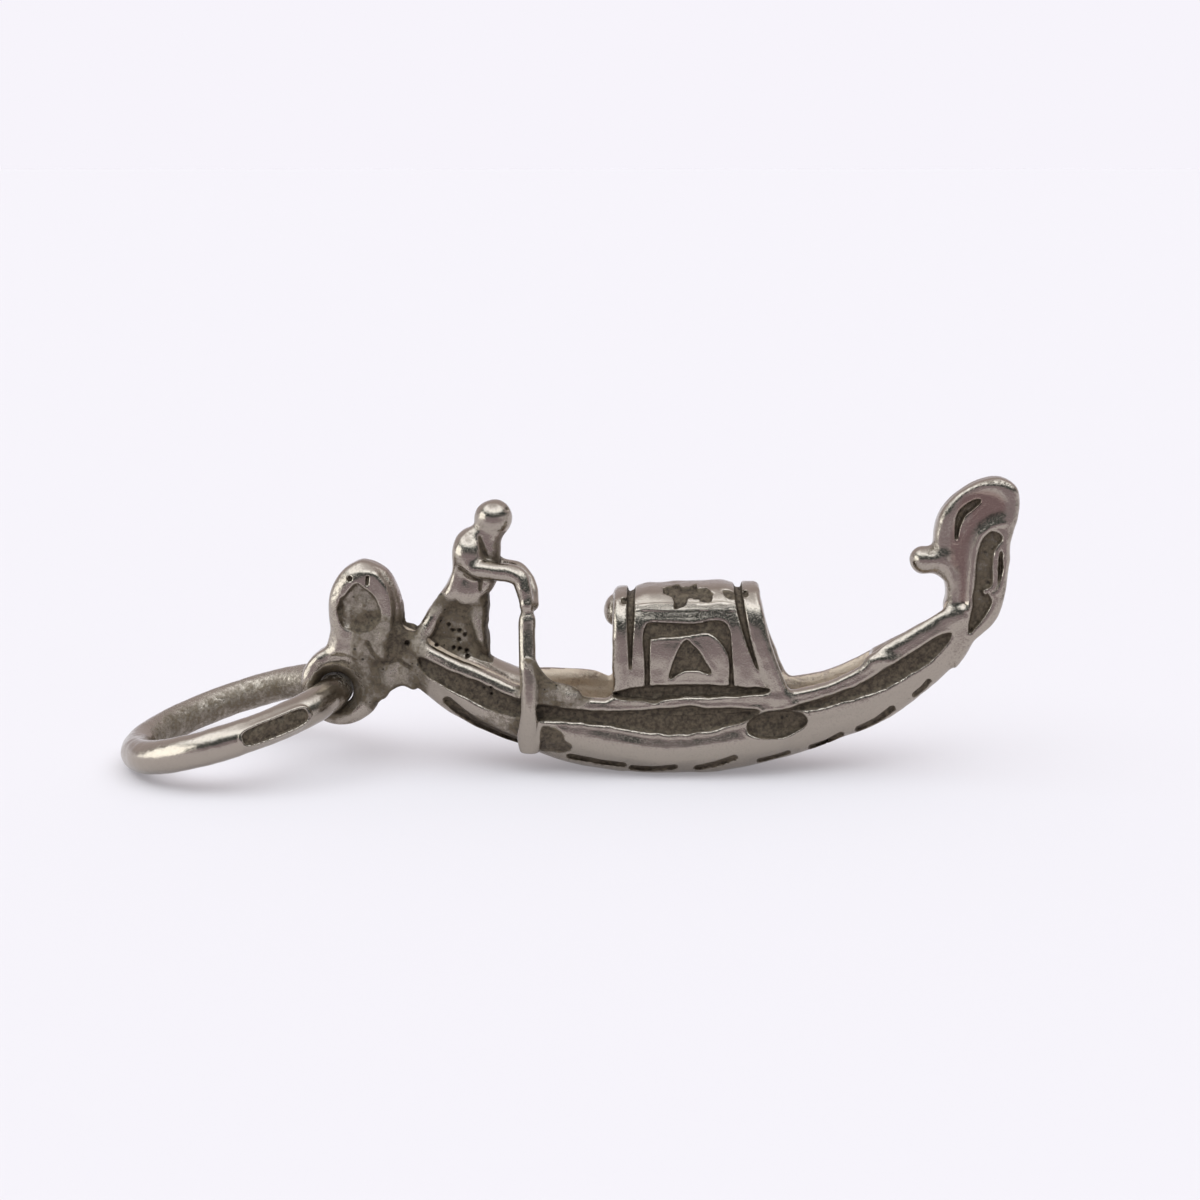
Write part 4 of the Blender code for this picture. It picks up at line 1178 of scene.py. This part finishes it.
def finish_and_shade_of(p, normals, d, cut):
    """Tarnish with painted shade, warmth from film and painted shade, and cast grain for each
    point.
    """
    x, _, z = p.T
    beside_rest = ellipsoid(p, (-2.9, -1.32, 2.6), (0.7, 0.3, 0.4))
    rough_cast = np.max((0.8 * near(d["stern_neck"], 0.25), near(d["gondolier_web"], 0.10),
                         near(d["oar_rest"], 0.08), 0.7 * near(beside_rest, 0.1)), axis=0)
    worn = near(d["hull_shell"]) * step(1.25 - spot(x, z, (-4.9, 1.45), (1.7, 0.55)))
    pitted = near(d["stern_neck"]) * step(1.3 - spot(x, z, (-7.70, 3.85), (0.42, 0.50)))
    from_wire = np.hypot(x - PIVOT[0], z - PIVOT[2])
    # Painted shade: the eye's hole is darkened around the wire, where shadow falls.
    hole = near(d["stern_eye"]) * step((0.9 - from_wire) / 0.15)
    pale = np.maximum(1.8 * near(d["stern_scroll"]), near(d["bow_iron"])) * step(cut / 0.08)
    # Painted shade: faces that look downwards are darkened.
    underside_shade = step(-normals[:, 2] - 0.2) * 0.15
    outside = hull_outside(p)
    inside = near(nearest(d, *HULL_SKIN)) * (outside < -0.2) * (1 - step(cut / 0.03))
    flank = near(d["hull_shell"]) * (outside > -0.2)
    # Painted shade: walls of the scroll, web and torso that face +x, away from the lights, are
    # darkened and warmed.
    rightward = step(normals[:, 0] * 2 - 0.6)
    away_wall_shade = near(nearest(d, "stern_scroll", "gondolier_web", "gondolier_torso")) * rightward
    # The hollowness term is oxide in the hollows and also painted shade that darkens corners and
    # recesses.
    tarnish_and_shade = (0.85 * step(cut / 0.045) + 0.8 * hollowness(p, normals) * (1 - inside)
               + 0.45 * rough_cast + underside_shade)
    tarnish_and_shade += (0.04 * flank + 0.55 * inside + 0.3 * away_wall_shade + 0.35 * worn + 0.5 * pitted
                + 0.5 * hole - 0.3 * pale)
    dish = near(d["bow_iron"]) * step(0.5 - flat_gap(x, z, DISH) / 0.15)
    warmth = np.maximum(inside * 1.2, 0.7 * np.maximum(away_wall_shade, dish))
    dug = 1.5 * step(cut / 0.08 - 0.5)
    cast = np.max((0.24 * flank, 0.9 * inside, 2.0 * rough_cast, dug), axis=0)
    return tarnish_and_shade, warmth, np.maximum(cast, 0.2)


metal = silver("cast_silver")
for name in NAMES:
    points, quads, normals = mesh_of(partial(piece_field, name), *node_box(name, MARGIN))
    _, d, cut = casting(points)
    finish_and_shade = finish_and_shade_of(points, normals, d, cut)
    normals = shading_normals(name, points, normals)
    piece = make_piece("cast_" + name, points, quads, normals, finish_and_shade)
    piece.data.materials.append(metal)
    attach(piece, "charm")
    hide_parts(name)

points, quads, normals = mesh_of(ring_field, *RING_BOX)
ring = make_piece("wire_jump_ring", points, quads, normals, ring_finish_and_shade(points))
ring.data.materials.append(metal)
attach(ring, "ring")
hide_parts("jump_ring")

stage()
camera()
bpy.context.scene.view_settings.view_transform = "Standard"
